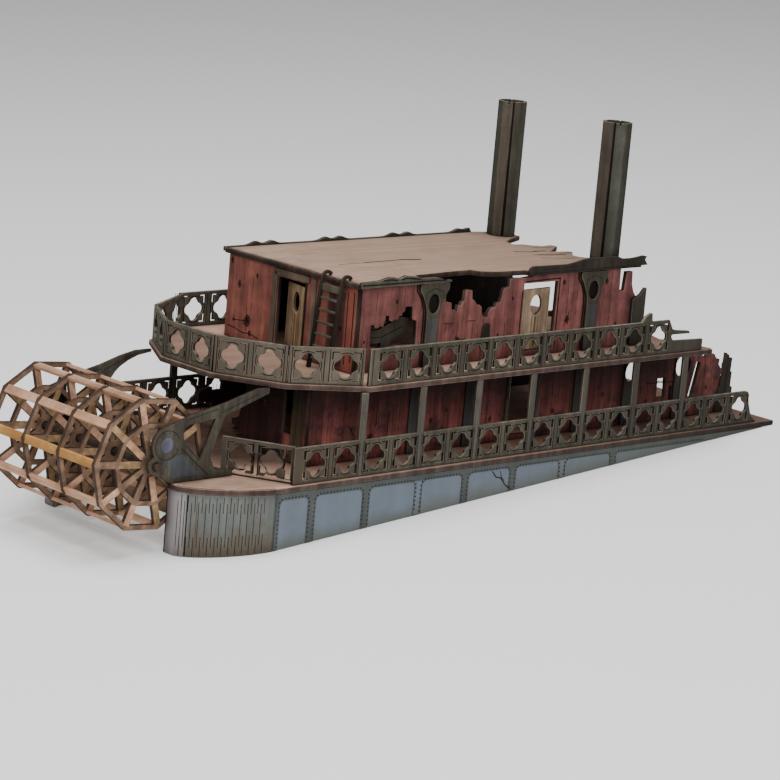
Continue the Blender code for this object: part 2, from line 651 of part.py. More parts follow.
def build_wheel():
    """A cage of four ten-sided rings on ten long laths, glued up as one turning piece."""
    rim = [polar(WHEEL_RADIUS, WHEEL_TURN + 2 * math.pi * i / WHEEL_SIDES) for i in range(WHEEL_SIDES)]
    bore = oval(0.0, 0.0, 2 * AXLE_HOLE, 2 * AXLE_HOLE, 20)
    outer_y = WHEEL_HALF - RING_BOARD / 2
    rings = []
    for i, y in enumerate((-outer_y, -outer_y / 3, outer_y / 3, outer_y)):
        ring = board("paddle_wheel_ring_%d" % i, rim, RAW_BOARD, (0, y, 0), LENGTHWISE, RING_BOARD,
                     holes=[bore, *ring_holes()], parent=WHEEL)
        rings.append(curve_to_mesh(ring))
    wheel = rings[0]
    wheel.name = "paddle_wheel"
    for ring in rings[1:]:
        PARTS.objects.unlink(ring)
        CUTTERS.objects.link(ring)
        ring.hide_render = True
        ring.display_type = "WIRE"
        combine(wheel, ring, "UNION")
    seat = WHEEL_RADIUS - 1.9
    for i in range(WHEEL_SIDES):
        angle = WHEEL_TURN + 2 * math.pi * i / WHEEL_SIDES
        x, z = polar(seat, angle)
        lath = box_mesh("lath", (LATH_THICK, 2 * WHEEL_HALF - 1.0, LATH_WIDTH))
        combine(wheel, helper("lath_%d" % i, lath, (x, 0, z), (0.0, -angle, 0.0), WHEEL), "UNION")
    paint(wheel, RAW_BOARD)
    wheel.parent = WHEEL
    wheel.matrix_parent_inverse = WHEEL.matrix_world.inverted()
    axle = bpy.data.objects.new("wheel_axle", cylinder_along_y(AXLE_RADIUS, 2 * (WELL_HALF + 4.5)))
    place(axle, (0, 0, 0), FLAT, WHEEL)
    PARTS.objects.link(axle)
    axle.data.shade_smooth()
    axle.data.set_sharp_from_angle(angle=math.radians(40))
    paint(axle, RAW_BOARD)


def main():
    build_main_deck()
    build_hull_sides()
    build_hull_wraps()
    build_bulkheads()
    build_lower_cabin()
    build_upper_deck()
    build_upper_cabin()
    build_pilasters()
    build_roof()
    build_cornices()
    build_chimneys()
    build_main_rails()
    build_upper_rails()
    build_stern_rails()
    build_ladder()
    build_doors()
    build_fallen_boards()
    build_brackets()
    build_wheel()


main()
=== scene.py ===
# %% [markdown]
# # A wrecked paddle steamer cut from board
#
# The model is glued up from flat laser-cut boards. A laser leaves three kinds of surface: the painted
# face, a scorched cut edge, and a thin rim between them where the paint is rubbed. Each board here is
# made with those three surfaces, so most of the likeness comes from the edges, not from the paint.
#
# Sizes are in millimetres in the boat's own frame: X to the bow, Y to port, Z up from the main deck.

import math
import random

import bmesh
import bpy
from mathutils import Matrix, Vector


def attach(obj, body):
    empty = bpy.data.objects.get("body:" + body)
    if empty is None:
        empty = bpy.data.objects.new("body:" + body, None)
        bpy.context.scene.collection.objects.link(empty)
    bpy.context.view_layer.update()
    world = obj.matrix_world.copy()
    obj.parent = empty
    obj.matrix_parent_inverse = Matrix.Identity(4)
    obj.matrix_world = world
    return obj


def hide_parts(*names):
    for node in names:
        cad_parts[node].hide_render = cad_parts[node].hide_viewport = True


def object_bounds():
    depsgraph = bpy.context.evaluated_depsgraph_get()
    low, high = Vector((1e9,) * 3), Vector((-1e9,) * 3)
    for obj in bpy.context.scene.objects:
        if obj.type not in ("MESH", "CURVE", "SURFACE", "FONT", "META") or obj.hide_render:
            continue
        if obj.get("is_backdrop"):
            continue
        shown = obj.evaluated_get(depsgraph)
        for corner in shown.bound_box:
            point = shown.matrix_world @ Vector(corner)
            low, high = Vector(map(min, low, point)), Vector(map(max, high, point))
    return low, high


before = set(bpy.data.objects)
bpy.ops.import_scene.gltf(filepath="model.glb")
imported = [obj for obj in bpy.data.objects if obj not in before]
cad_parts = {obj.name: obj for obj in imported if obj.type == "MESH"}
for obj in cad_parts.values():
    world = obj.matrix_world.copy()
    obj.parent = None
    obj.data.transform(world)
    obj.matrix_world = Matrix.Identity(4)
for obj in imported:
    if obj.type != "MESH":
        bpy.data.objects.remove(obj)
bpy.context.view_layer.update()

# %% [markdown]
# ## The boat's frame
#
# The hull stands on a slanted foot, so the decks slope down to the bow. Each piece could be modelled on
# the slant, but level numbers are easier to read and to check. So everything is drawn on a level boat,
# and one matrix takes it to its place on the table.

# %% The boat's matrix
MM = 0.001
FOOT_SLOPE = 0.078
HULL_DEPTH = 31.1
PITCH = math.atan(FOOT_SLOPE)
FRAME_X = -100.4
BOAT = (Matrix.Translation((FRAME_X * MM, 0.0, HULL_DEPTH * math.cos(PITCH) * MM))
        @ Matrix.Rotation(PITCH, 4, "Y") @ Matrix.Scale(MM, 4))
print("the decks slope by", round(math.degrees(PITCH), 2), "degrees")

# %% Sizes that several pieces share
BOARD = 3.0  # thick board: decks, walls, hull
TRIM = 2.0  # thin board: railings, posts, doors, brackets
GAP = 0.3  # a glued joint
HULL_HALF = 87.0
CABIN_HALF = 57.0
LOWER_AFT = -17.8
UPPER_AFT = 13.7
UPPER_DECK = 48.6
DECK_TOP = UPPER_DECK + BOARD
ROOF_Z = 101.5
WALL_TOP_LOW = 48.3
WALL_TOP_HIGH = ROOF_Z - GAP
PANEL = 45.0  # two cells of a railing
CELL = PANEL / 2
RAIL = 21.0
WHEEL_X = -121.5
WHEEL_Z = 10.9
UPRIGHT = math.pi / 2
BOTH = (("starboard", -1), ("port", 1))
CUTS = random.Random(7)  # one source of chance for all plank joints, so each run engraves the same ones


# %% Places of a board
def turned(x, y, z, about_x=0.0, about_z=0.0):
    """Place of a board: turned about X first, then about Z, then moved."""
    return Matrix.Translation((x, y, z)) @ Matrix.Rotation(about_z, 4, "Z") @ Matrix.Rotation(about_x, 4, "X")


def lengthwise(y):
    """A board that stands along the boat; its own up side faces starboard."""
    return turned(0.0, y, 0.0, UPRIGHT)


def crosswise(x):
    """A board that stands across the boat; its own up side faces the bow."""
    return turned(x, 0.0, 0.0, UPRIGHT, UPRIGHT)


def flat(z):
    """A board that lies level."""
    return turned(0.0, 0.0, z)


# %% [markdown]
# ## One node at a time
#
# A material is a short list of nodes. One function adds any node with its settings and links, and one
# turns the hex colour that a person picks into the linear light that the renderer adds up.

# %% Colours and nodes
def linear(code):
    """A web colour such as 8a7766 in linear light."""
    values = []
    for i in (0, 2, 4):
        c = int(code[i:i + 2], 16) / 255
        values.append(c / 12.92 if c <= 0.04045 else ((c + 0.055) / 1.055) ** 2.4)
    return (*values, 1.0)


def add(tree, kind, settings, output=0):
    """Adds a shader node and returns one of its outputs.

    A setting names a socket or a property. Where its value is another node's output, it is linked.
    """
    node = tree.nodes.new("ShaderNode" + kind)
    for key, value in settings.items():
        if isinstance(key, str) and key not in node.inputs:
            setattr(node, key, value)
        elif isinstance(value, bpy.types.NodeSocket):
            tree.links.new(value, node.inputs[key])
        else:
            node.inputs[key].default_value = value
    return node.outputs[output]


# %% [markdown]
# ## Paint on board
#
# Hand-painted board is never one colour. Broad blotches come from the wash, fine streaks from the
# brush, planks differ a little from each other, and small specks come from grit. Corners and the places
# where two pieces meet are darkened as painted shade. The streaks follow the brush: upright on walls
# and posts, along the boat on decks.
# A painted picture could do this, but noise needs no picture and follows every piece.
#
# All patterns are measured in millimetres in the boat's own frame. One mapping node turns the place on
# the table back into that frame, so a streak stays upright on the slanted boat. Real grit is finer than
# a pixel here, so it is drawn about half a millimetre across, as coarse as it needs to be to show.

# %% Directions of the brush
GRAIN = {"upright": (1.0, 1.0, 0.09), "along": (0.09, 1.0, 1.0), "across": (1.0, 0.09, 1.0)}
PLANKS = {"upright": (1.0, 1.0, 0.012), "along": (0.012, 1.0, 1.0), "across": (1.0, 0.012, 1.0)}
BACK = Matrix.Rotation(-PITCH, 3, "Y")
SHIFT = -(BACK @ BOAT.to_translation()) / MM
GRIT = 0.55
PLANK_WIDTH = 5.0
SHEEN = 0.22  # matt paint mirrors less than Blender's usual surface


# %% Where a layer lies
def layer_strength(tree, strength, limits, boat, place, wobble):
    """The strength of a layer, faded in from start to end along each of its axes."""
    for axis, start, end in limits:
        if axis == "height":
            height = add(tree, "SeparateXYZ", {"Vector": place}, "Z")
            value = add(tree, "Math", {"operation": "MULTIPLY", 0: height, 1: 1 / MM})
        else:
            value = add(tree, "SeparateXYZ", {"Vector": boat}, axis)
        value = add(tree, "Math", {"operation": "MULTIPLY_ADD", 0: wobble, 1: 0.35 * abs(end - start), 2: value})
        value = add(tree, "MapRange", {"Value": value, "From Min": start, "From Max": end})
        strength = add(tree, "Math", {"operation": "MULTIPLY", 0: value, 1: strength})
    return strength


# %% A finish
def finish(name, light, dark, streak, grain="upright", corner_shade="1c1511", corner_shade_strength=0.75, streaks=0.55,
           rough=0.82, relief=0.10, blotch=16.0, speck=0.16, fine=1.5, planks=0.25, layers=()):
    """A matt painted or bare board surface with wash, planks, streaks, specks and painted shade in the corners.

    A layer is (colour, strength, limits); a limit is (axis, start, end) and fades in from start to end.
    """
    material = bpy.data.materials.new(name)
    material.use_nodes = True
    tree = material.node_tree
    shader = tree.nodes["Principled BSDF"].inputs
    place = add(tree, "TexCoord", {}, "Object")
    boat = add(tree, "Mapping", {"Vector": place, "Scale": (1 / MM, 1 / MM, 1 / MM),
                                 "Rotation": (0.0, -PITCH, 0.0), "Location": SHIFT})
    stretch = add(tree, "Mapping", {"Vector": boat, "Scale": GRAIN[grain]})
    boards = add(tree, "Mapping", {"Vector": boat, "Scale": PLANKS[grain]})
    wash, brush, wide, grit, plank = [
        add(tree, "TexNoise", {"Vector": vector, "Scale": 1.0 / size, "Detail": detail, "Roughness": broken}, "Fac")
        for vector, size, detail, broken in (
            (boat, blotch, 6.0, 0.62), (stretch, fine, 4.0, 0.65), (stretch, fine * 4.5, 3.0, 0.55),
            (boat, GRIT, 2.0, 0.5), (boards, PLANK_WIDTH, 1.0, 0.4))]
    # Ambient occlusion darkens the colour in corners and between pieces: painted shade.
    shadow = add(tree, "AmbientOcclusion", {"samples": 6, "Distance": 7 * MM}, "AO")
    thin, thick, stroke, band, specks, wobble, gloss, corner = [
        add(tree, "MapRange", {"Value": source, "From Min": start, "From Max": end, "To Min": low, "To Max": high})
        for source, start, end, low, high in (
            (wash, 0.36, 0.66, 0.0, 1.0), (plank, 0.35, 0.65, 1.0 - planks, 1.0 + planks),
            (brush, 0.50, 0.72, 0.0, streaks), (wide, 0.52, 0.70, 0.0, streaks * 0.8),
            (grit, 0.3, 0.7, 1.0 - speck, 1.0 + speck * 0.6), (wash, 0.3, 0.7, -1.0, 1.0),
            (wash, 0.3, 0.7, rough - 0.08, rough + 0.10), (shadow, 0.30, 0.92, corner_shade_strength, 0.0))]
    coats = [("MIX", thin, linear(light)), ("MULTIPLY", 1.0, thick), ("MIX", stroke, linear(streak)),
             ("MIX", band, linear(streak)), ("MULTIPLY", 1.0, specks)]
    for tint, strength, limits in layers:
        coats.append(("MIX", layer_strength(tree, strength, limits, boat, place, wobble), linear(tint)))
    colour = linear(dark)
    for blend, amount, tint in [*coats, ("MIX", corner, linear(corner_shade))]:
        colour = add(tree, "Mix", {"data_type": "RGBA", "blend_type": blend, 0: amount, 6: colour, 7: tint}, 2)
    height = add(tree, "Math", {"operation": "ADD", 0: brush, 1: grit})
    bumps = add(tree, "Bump", {"Strength": 0.6, "Distance": relief * MM, "Height": height})
    for socket, source in (("Base Color", colour), ("Roughness", gloss), ("Normal", bumps)):
        tree.links.new(source, shader[socket])
    shader["Specular IOR Level"].default_value = SHEEN
    return material


# %% [markdown]
# ## The set of finishes
#
# Each paint comes with its own rim, a shade lighter, because a wiped brush catches the edges of a
# piece. Cut edges are scorched board. Under the upper deck the lower cabin's walls darken towards their
# tops: painted shade. The hull gathers grey-green dirt along its foot. Everything here is matt
# hobby paint or bare fibreboard, so the finishes differ in colour and in how strongly the brush shows.

# %% Darkening that several finishes share
# The first is painted shade: the lower cabin darkens towards the top of its walls under the upper deck, and not
# beyond the deck's fore end. The others darken towards the bow and over the fore part.
UNDERDECK_SHADE = ("100806", 0.88, (("Z", 12.0, 37.0), ("X", 299.0, 284.0)))
BOW = ("1c1511", 0.5, (("X", 90.0, 340.0),))
FORE = ("3a2a22", 0.30, (("X", 60.0, 260.0),))

# %% Red matt paint on the cabins
# Thinned red paint, rubbed back to the board: warm and patchy, with brown streaks down the planks.
# The aft wall's red is a little lighter and warmer: painted light where the stern light falls. The lower
# walls' red is mottled, with painted shade under the upper deck and on the port part of the lower aft wall.
RED = finish("worn_red", "895651", "623b39", "3f2622", corner_shade="1a0c09", streaks=0.5, planks=0.22)
RED_LIT_AFT = finish("worn_red_lit_aft", "90584d", "6b3f37", "452820", corner_shade="1a0c09", streaks=0.45, planks=0.22,
                 layers=(("8f4430", 0.38, (("Y", -48.5, -50.0),)),))
RED_LOW = finish("shaded_red_low", "9c5750", "42282a", "321a19", corner_shade="120806", streaks=0.55, planks=0.35,
                 blotch=9.0, layers=(UNDERDECK_SHADE, BOW, ("17100e", 0.85, (("X", -12.5, -14.5), ("Y", -41.0, -37.5)))))
RED_RIM = finish("worn_red_rim", "936b64", "6c4a44", "402a26", corner_shade="1d0f0c", streaks=0.3)
RED_SHADE = finish("red_in_shade", "66403c", "4a2d2a", "2c1916", corner_shade="120806", streaks=0.5, planks=0.3)
STAIN = finish("burnt_red", "4c261f", "381b16", "24100c", corner_shade="120806", streaks=0.6)
# Door jambs: a plain drab brown that only has to stand out from the red.
JAMB = finish("jamb_paint", "6a5a4c", "4e4237", "33291f", corner_shade="17100b", streaks=0.5)
JAMB_LOW = finish("shaded_jamb_low", "5d503c", "433828", "271f15", corner_shade="120d08", streaks=0.6, layers=(UNDERDECK_SHADE,))

# %% Grey-green matt paint on rails, posts and chimneys
# Drab paint over dark board. It hardly shines, so the rubbed lighter rims draw every opening.
# Towards the stern the grey is lighter: painted light where the stern light falls.
GREY = finish("grey_green", "565145", "3d3c32", "2a221b", corner_shade="120e0a", streaks=0.55, planks=0.15,
              layers=(BOW, ("7c6e62", 0.25, (("X", 6.0, -12.0),)),
                      ("31281f", 0.55, (("X", -1.0, -5.0), ("Z", 30.0, 24.0))),
                      ("2a271f", 0.30, (("X", 5.0, 60.0), ("Z", 48.0, 58.0)))))
GREY_RIM = finish("grey_green_rim", "767063", "595449", "3a3128", corner_shade="17120d", streaks=0.35)
SLATE = finish("slate_paint", "4f4d4c", "3c3c3b", "2e2821", corner_shade="14110e", streaks=0.4)
POST = finish("warm_grey", "534f47", "413e37", "2d2823", corner_shade="17120d", streaks=0.4, layers=(BOW,))
SHADE = finish("dark_grey_green", "312b22", "201c17", "120d09", corner_shade="0e0a08", streaks=0.5)
SHADE_LOW = finish("shaded_grey_low", "4d504c", "3b3d3a", "2a2824", corner_shade="0e0c0a", streaks=0.4, layers=(UNDERDECK_SHADE,))
CHIMNEY = finish("chimney_green", "44453d", "35352e", "221e18", corner_shade="17110c", streaks=0.45)
# The dark tone is painted shade on the chimneys' faces that lie in shade.
CHIMNEY_SHADED = finish("chimney_painted_shade", "3f3d33", "302e27", "1f1a15", corner_shade="120d0a", streaks=0.5)
CHIMNEY_BROWN = finish("chimney_brown", "4d453c", "3d362d", "272019", corner_shade="17110c", streaks=0.5)

# %% Blue-grey and slate matt paint on the hull and brackets
# The hull's panels are brushed smooth and even, the frames over them are greener and grubbier, and the
# bent skin is paler where it turns to the stern: painted light where the stern light falls.
HULL = finish("hull_panel", "666f7b", "616971", "5b6367", corner_shade="45443f", corner_shade_strength=0.35, streaks=0.2, speck=0.04,
              planks=0.03, relief=0.04,
              layers=(("5a5f5a", 0.85, (("height", 9.0, 1.0),)), ("54564f", 0.5, (("X", 90.0, 300.0),))))
FRAME = finish("hull_frame", "505654", "424644", "373531", corner_shade="2c2822", corner_shade_strength=0.4, streaks=0.35, speck=0.12,
               planks=0.05, layers=(("4c4f48", 0.5, (("X", 60.0, 300.0),)),))
WRAP = finish("hull_wrap", "676b68", "5d5f5d", "534e41", corner_shade="3a342a", corner_shade_strength=0.30, streaks=0.45, planks=0.10,
              layers=(("5a503e", 0.75, (("height", 20.0, 2.0),)), ("8e888a", 0.75, (("X", -105.0, -107.0),))))
ARM = finish("bracket_paint", "4c483e", "39352e", "261f18", corner_shade="0f0c09", corner_shade_strength=0.85, streaks=0.6, blotch=9.0)
LOBE = finish("bracket_slate", "494c51", "3a3d40", "2d2b29", corner_shade="14120f", corner_shade_strength=0.6, streaks=0.3, speck=0.06)
BOSS = finish("boss_paint", "565362", "464851", "36383e", corner_shade="23221f", corner_shade_strength=0.5, streaks=0.3, speck=0.05)
RIVET = finish("rivet_head", "242723", "1c1e1b", "151614", corner_shade="11110f")

# %% Tan wash on the decks and the roof
# A dull tan wash on bare board, the brightest thing on the model, with dirt along its borders. The decks'
# tan is paler than the roof's: painted light, put there for the main deck, which lies in the shade of the
# rails and the upper deck. At the stern, under the upper deck, the main deck darkens away from its
# starboard edge: painted shade.
ROOF = finish("roof_tan", "a58b79", "917967", "7f6655", "along", corner_shade="3d2d22", corner_shade_strength=0.6, streaks=0.35,
              speck=0.06, fine=2.6, planks=0.06, relief=0.05,
              layers=(FORE, ("5a443b", 0.75, (("X", 18.0, 12.5),)), ("66503f", 0.5, (("Y", -54.0, -59.0),)),
                      ("5a463a", 0.6, (("Y", 55.0, 59.0),)), ("4a3830", 0.55, (("X", 205.0, 236.0),))))
DECK_LIT = finish("deck_tan_lit", "bf9b88", "a88673", "86694f", "along", corner_shade="35261d", corner_shade_strength=0.6, streaks=0.4,
              speck=0.08, fine=2.6, planks=0.08, relief=0.05,
              layers=(FORE, ("241a15", 0.7, (("X", 150.0, 330.0),)),
                      ("5e4a3e", 0.65, (("X", 16.0, 4.0), ("Z", 34.0, 40.0))),
                      ("33261f", 0.60, (("X", 8.0, -4.0), ("Z", 12.0, 8.0), ("Y", -44.0, -32.0)))))
DECK_RIM = finish("deck_rim", "8a7464", "6e5a4d", "4a392e", corner_shade="2a1e16", streaks=0.4, layers=(BOW,))
FAN = finish("deck_fan", "a58b79", "8d7160", "795c4c", "along", corner_shade="35241a", corner_shade_strength=0.6, streaks=0.4,
             speck=0.08, fine=2.6, planks=0.06, relief=0.05)

# %% Bare fibreboard
# Unpainted board, brown and fibrous across the boat. The amber one is a fresher, more golden lath.
RAW = finish("bare_board", "8e725c", "695140", "493728", "across", corner_shade="1c120c", corner_shade_strength=0.75, streaks=0.5)
LATH = finish("bare_lath", "c39a80", "a17b5f", "78573f", "across", corner_shade="2a1a11", corner_shade_strength=0.6, streaks=0.45)
SPOKE = finish("bare_spoke", "a68a68", "826747", "5a4430", "across", corner_shade="24170e", corner_shade_strength=0.7, streaks=0.5)
RING_EDGE = finish("ring_edge", "4f3d32", "382a22", "20160f", "across", corner_shade="0e0805", streaks=0.5)
AMBER = finish("bare_board_amber", "b5864f", "946939", "6d4d29", "across", corner_shade="2a1a0e", corner_shade_strength=0.6)

# %% Cream matt paint on the doors
# Old cream paint, worn through to brown in upright streaks.
CREAM = finish("worn_cream", "998265", "775f47", "4a3724", corner_shade="1d130b", streaks=0.7, planks=0.3)
CREAM_PALE = finish("worn_cream_pale", "a08c75", "7f6b55", "54422f", corner_shade="1d130b", streaks=0.5, planks=0.3)
CREAM_RIM = finish("worn_cream_rim", "a7937b", "866e55", "533e2a", corner_shade="23170e", streaks=0.3)

# %% Cut, burnt and shaded board
# A laser leaves a cut edge dark brown and dull. Engraved lines are charred nearly black.
EDGE = finish("scorched_edge", "43352c", "2d221b", "1a110c", corner_shade="0e0805", streaks=0.6, rough=0.9)
EDGE_PALE = finish("toasted_edge", "66574c", "4a3a31", "30231b", corner_shade="1c120c", streaks=0.5, rough=0.88)
EDGE_DECK = finish("deck_edge", "52443f", "3f302a", "291d17", corner_shade="1c120c", streaks=0.35, rough=0.88,
                   layers=(BOW,))
BURN = finish("burnt_line", "1f1611", "130d09", "0a0604", corner_shade="0a0705", streaks=0.4, rough=0.95)
# The cabins' inner faces are near-black: painted shade for the unlit inside.
SHADED_INSIDE = finish("inside_painted_shade", "241a16", "18110e", "0d0806", corner_shade="080504", streaks=0.5)
TOAST = finish("toasted_border", "644c3e", "4e382c", "35251c", corner_shade="23170f", streaks=0.5)
print("finishes:", len(bpy.data.materials))

# %% [markdown]
# ## Cutting a board
#
# A board starts as one closed outline with its holes, drawn flat. A filled curve gives it thickness and
# a small rounded rim, and becomes a mesh. Booleans could cut the holes, but a filled curve needs none,
# and it keeps the edges clean. The faces are then sorted by the way they point: painted face, rubbed
# rim or cut edge. Engraved lines are thin burnt strips that lie on the painted face.

# %% Adding a small piece to a shape
def join(shape, piece, place, slot=None):
    """Moves a small piece to its place and adds it to a shape."""
    if slot is not None:
        for face in piece.faces:
            face.material_index = slot
    piece.transform(place)
    joined = bpy.data.meshes.new("joined")
    piece.to_mesh(joined)
    piece.free()
    shape.from_mesh(joined)
    bpy.data.meshes.remove(joined)


# %% An engraved line
def path_strip(shape, points, width, z, slot, closed=False):
    """A flat strip of the given width along a line of points, facing away from the board."""
    count = len(points)
    left = []
    right = []
    for i, (x, y) in enumerate(points):
        before = Vector(points[(i - 1) % count] if closed or i > 0 else points[i])
        after = Vector(points[(i + 1) % count] if closed or i < count - 1 else points[i])
        along = (after - before).normalized()
        out = Vector((-along.y, along.x)) * width / 2
        left.append(shape.verts.new((x + out.x, y + out.y, z)))
        right.append(shape.verts.new((x - out.x, y - out.y, z)))
    for i in range(count if closed else count - 1):
        j = (i + 1) % count
        quad = (left[i], right[i], right[j], left[j])
        face = shape.faces.new(quad if z > 0 else quad[::-1])
        face.material_index = slot


# %% The bare board
def cut_board(outline, holes, thickness, rim):
    """The plain bevelled board as a mesh lying flat, in millimetres."""
    curve = bpy.data.curves.new("outline", "CURVE")
    curve.dimensions = "2D"
    curve.fill_mode = "BOTH"
    curve.extrude = thickness / 2 - rim
    curve.bevel_depth = rim
    curve.bevel_resolution = 0
    curve.offset = -rim
    for loop in [outline, *holes]:
        spline = curve.splines.new("POLY")
        spline.points.add(len(loop) - 1)
        for point, (a, b) in zip(spline.points, loop):
            point.co = (a, b, 0.0, 1.0)
        spline.use_cyclic_u = True
    drawing = bpy.data.objects.new("outline", curve)
    bpy.context.scene.collection.objects.link(drawing)
    bpy.context.view_layer.update()
    graph = bpy.context.evaluated_depsgraph_get()
    mesh = bpy.data.meshes.new_from_object(drawing.evaluated_get(graph))
    bpy.data.objects.remove(drawing, do_unlink=True)
    return mesh


# %% A painted board
ENGRAVED = 0.03  # engraved lines lie this far off the face, so that they never flicker


def fill_board(shape, outline, holes, thickness, place, slots=(0, 1, 2), rim=0.2, lines=(), marks=(),
               back=None, lit_top=None):
    """Adds one board to a shape: faces, engraved lines on both faces, marks on the given faces.

    The last two are the slots of the underside and of the cut edges that point up, which get a painted highlight.
    """
    mesh = cut_board(outline, holes, thickness, rim)
    piece = bmesh.new()
    piece.from_mesh(mesh)
    bpy.data.meshes.remove(mesh)
    bmesh.ops.remove_doubles(piece, verts=piece.verts, dist=0.001)
    bmesh.ops.recalc_face_normals(piece, faces=piece.faces)
    for face in piece.faces:
        lean = abs(face.normal.z)
        face.material_index = slots[0] if lean > 0.95 else slots[2] if lean > 0.3 else slots[1]
        if back is not None and face.normal.z < -0.95:
            face.material_index = back
        # Cut edges that point up take the lighter rim paint: a painted highlight.
        if lit_top is not None and face.normal.y > 0.6:
            face.material_index = lit_top
    top = thickness / 2 + ENGRAVED
    for points, width in lines:
        for z in (top, -top):
            path_strip(piece, points, width, z, 3)
    for loop, slot, faces in marks:
        for z in [(top - 0.012 + 0.012 * (slot == 3)) * side for side in faces]:
            ring = [piece.verts.new((a, b, z)) for a, b in (loop if z > 0 else loop[::-1])]
            face = piece.faces.new(ring)
            face.material_index = slot
    join(shape, piece, place)


# %% A bar and a rivet head
def box(shape, size, place, slot=0, rim=0.25):
    """A bevelled bar or block."""
    piece = bmesh.new()
    bmesh.ops.create_cube(piece, size=1.0)
    bmesh.ops.scale(piece, verts=piece.verts, vec=size)
    bmesh.ops.bevel(piece, geom=piece.edges[:], offset=rim, segments=1, profile=0.5, material=-1,
                    affect="EDGES")
    join(shape, piece, place, slot)


def dome(shape, radius, height, place, slot=0, sides=7):
    """A small rivet head: a low cone with its crown bevelled."""
    piece = bmesh.new()
    bmesh.ops.create_cone(piece, cap_ends=True, segments=sides, radius1=radius, radius2=radius * 0.75,
                          depth=height, matrix=Matrix.Translation((0.0, 0.0, height / 2)))
    crown = [edge for edge in piece.edges if min(vert.co.z for vert in edge.verts) > height * 0.9]
    bmesh.ops.bevel(piece, geom=crown, offset=height * 0.5, segments=1, profile=0.5, material=-1,
                    affect="EDGES")
    join(shape, piece, place, slot)


# %% A finished piece
def finish_piece(name, shape, materials, replaced=(), body="hull", parent=BOAT):
    """Turns a shape into a named piece in its place on the table, riding on its body."""
    mesh = bpy.data.meshes.new(name)
    shape.to_mesh(mesh)
    shape.free()
    mesh.transform(parent)
    for material in materials:
        mesh.materials.append(material)
    piece = bpy.data.objects.new(name, mesh)
    bpy.context.scene.collection.objects.link(piece)
    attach(piece, body)
    if replaced:
        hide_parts(*replaced)
    print(name, len(mesh.polygons), "faces")


# %% Slots of each kind of board
# Face, cut edge, rim, engraved line, then what a mark or an inner face may need
PAINTS = {
    "red": ((RED, EDGE, RED_RIM, BURN, STAIN, SHADED_INSIDE, JAMB), "red_paint"),
    "aft": ((RED_LIT_AFT, EDGE, RED_RIM, BURN, STAIN, SHADED_INSIDE, JAMB, RED_SHADE), "red_paint"),
    "low": ((RED_LOW, EDGE, RED_LOW, BURN, STAIN, SHADED_INSIDE, JAMB_LOW), "red_paint"),
    "grey": ((GREY, EDGE, GREY_RIM, BURN, SLATE), "grey_green_paint"),
    "shade": ((SHADE, EDGE, SHADE, BURN), "grey_green_paint"),
    "tan": ((DECK_LIT, EDGE_DECK, DECK_RIM, BURN, TOAST, FAN), "deck_board"),
    "roof": ((ROOF, EDGE, EDGE_PALE, BURN, TOAST), "deck_board"),
    "hull": ((HULL, EDGE, FRAME, BURN, FRAME), "hull_paint"),
    "wrap": ((WRAP, EDGE, WRAP, BURN, TOAST), "hull_paint"),
    "raw": ((RAW, EDGE_PALE, RAW, BURN, AMBER, LATH, SPOKE, RING_EDGE), "raw_board"),
    "cream": ((CREAM, EDGE_PALE, CREAM_RIM, BURN), "cream_paint"),
    "pale": ((CREAM_PALE, EDGE_PALE, CREAM_RIM, BURN), "cream_paint"),
}


# %% One board as one piece
def sheet(node, outline, place, paint, holes=(), thickness=BOARD, lines=(), marks=(), rim=0.2, back=None):
    """One board as one piece in place of a solid."""
    shape = bmesh.new()
    fill_board(shape, outline, holes, thickness, place, rim=rim, lines=lines, marks=marks, back=back)
    materials, slot = PAINTS[paint]
    finish_piece(node + "_look", shape, materials, [node])


# %% [markdown]
# ## Outlines
#
# The outlines repeat the solids' own numbers, because this script can't read the part's source. Knots
# and torn edges are uneven, but each takes its own fixed seed, so they come out the same every time.

# %% Plain outlines
def rectangle(x0, z0, x1, z1):
    return [(x0, z0), (x1, z0), (x1, z1), (x0, z1)]


def oval(x, z, width, height, sides=20):
    step = 2 * math.pi / sides
    return [(x + width / 2 * math.cos(i * step), z + height / 2 * math.sin(i * step)) for i in range(sides)]


def across(outline):
    return [(a, -b) for a, b in reversed(outline)]


def corner_arc(centre_x, centre_y, radius_x, radius_y, steps=24, power=1.5):
    points = []
    for i in range(steps + 1):
        angle = i * (math.pi / 2) / steps
        points.append((centre_x - radius_x * max(math.cos(angle), 0.0) ** (2 / power),
                       centre_y - radius_y * math.sin(angle) ** (2 / power)))
    return points


def hull_corner(offset):
    return corner_arc(-62.0, -58.0, 47.0 + offset, 29.0 + offset)


# %% Knots
def blot(x, z, width, height, seed, sides=11):
    """An uneven round patch, such as a knot."""
    dice = random.Random(seed)
    points = []
    for i in range(sides):
        angle = 2 * math.pi * i / sides
        reach = dice.uniform(0.55, 1.0)
        points.append((x + width / 2 * reach * math.cos(angle), z + height / 2 * reach * math.sin(angle)))
    return points


def star(x, z, size, seed, spikes=7):
    """A burnt knot with ragged rays."""
    dice = random.Random(seed)
    points = []
    for i in range(spikes * 2):
        angle = math.pi * i / spikes + dice.uniform(-0.15, 0.15)
        reach = size * (dice.uniform(0.7, 1.25) if i % 2 else dice.uniform(0.25, 0.5))
        points.append((x + 0.8 * reach * math.cos(angle), z + 1.1 * reach * math.sin(angle)))
    return points


def knots(spots, faces=(1, -1)):
    """Knots as (x, z, size): a dark stain with a burnt star in it."""
    marks = []
    for x, z, size in spots:
        seed = int(x * 13 + z * 7)
        marks.append((blot(x, z, size * 3.0, size * 4.0, seed), 4, faces))
        marks.append((star(x, z, size, seed), 3, faces))
    return marks


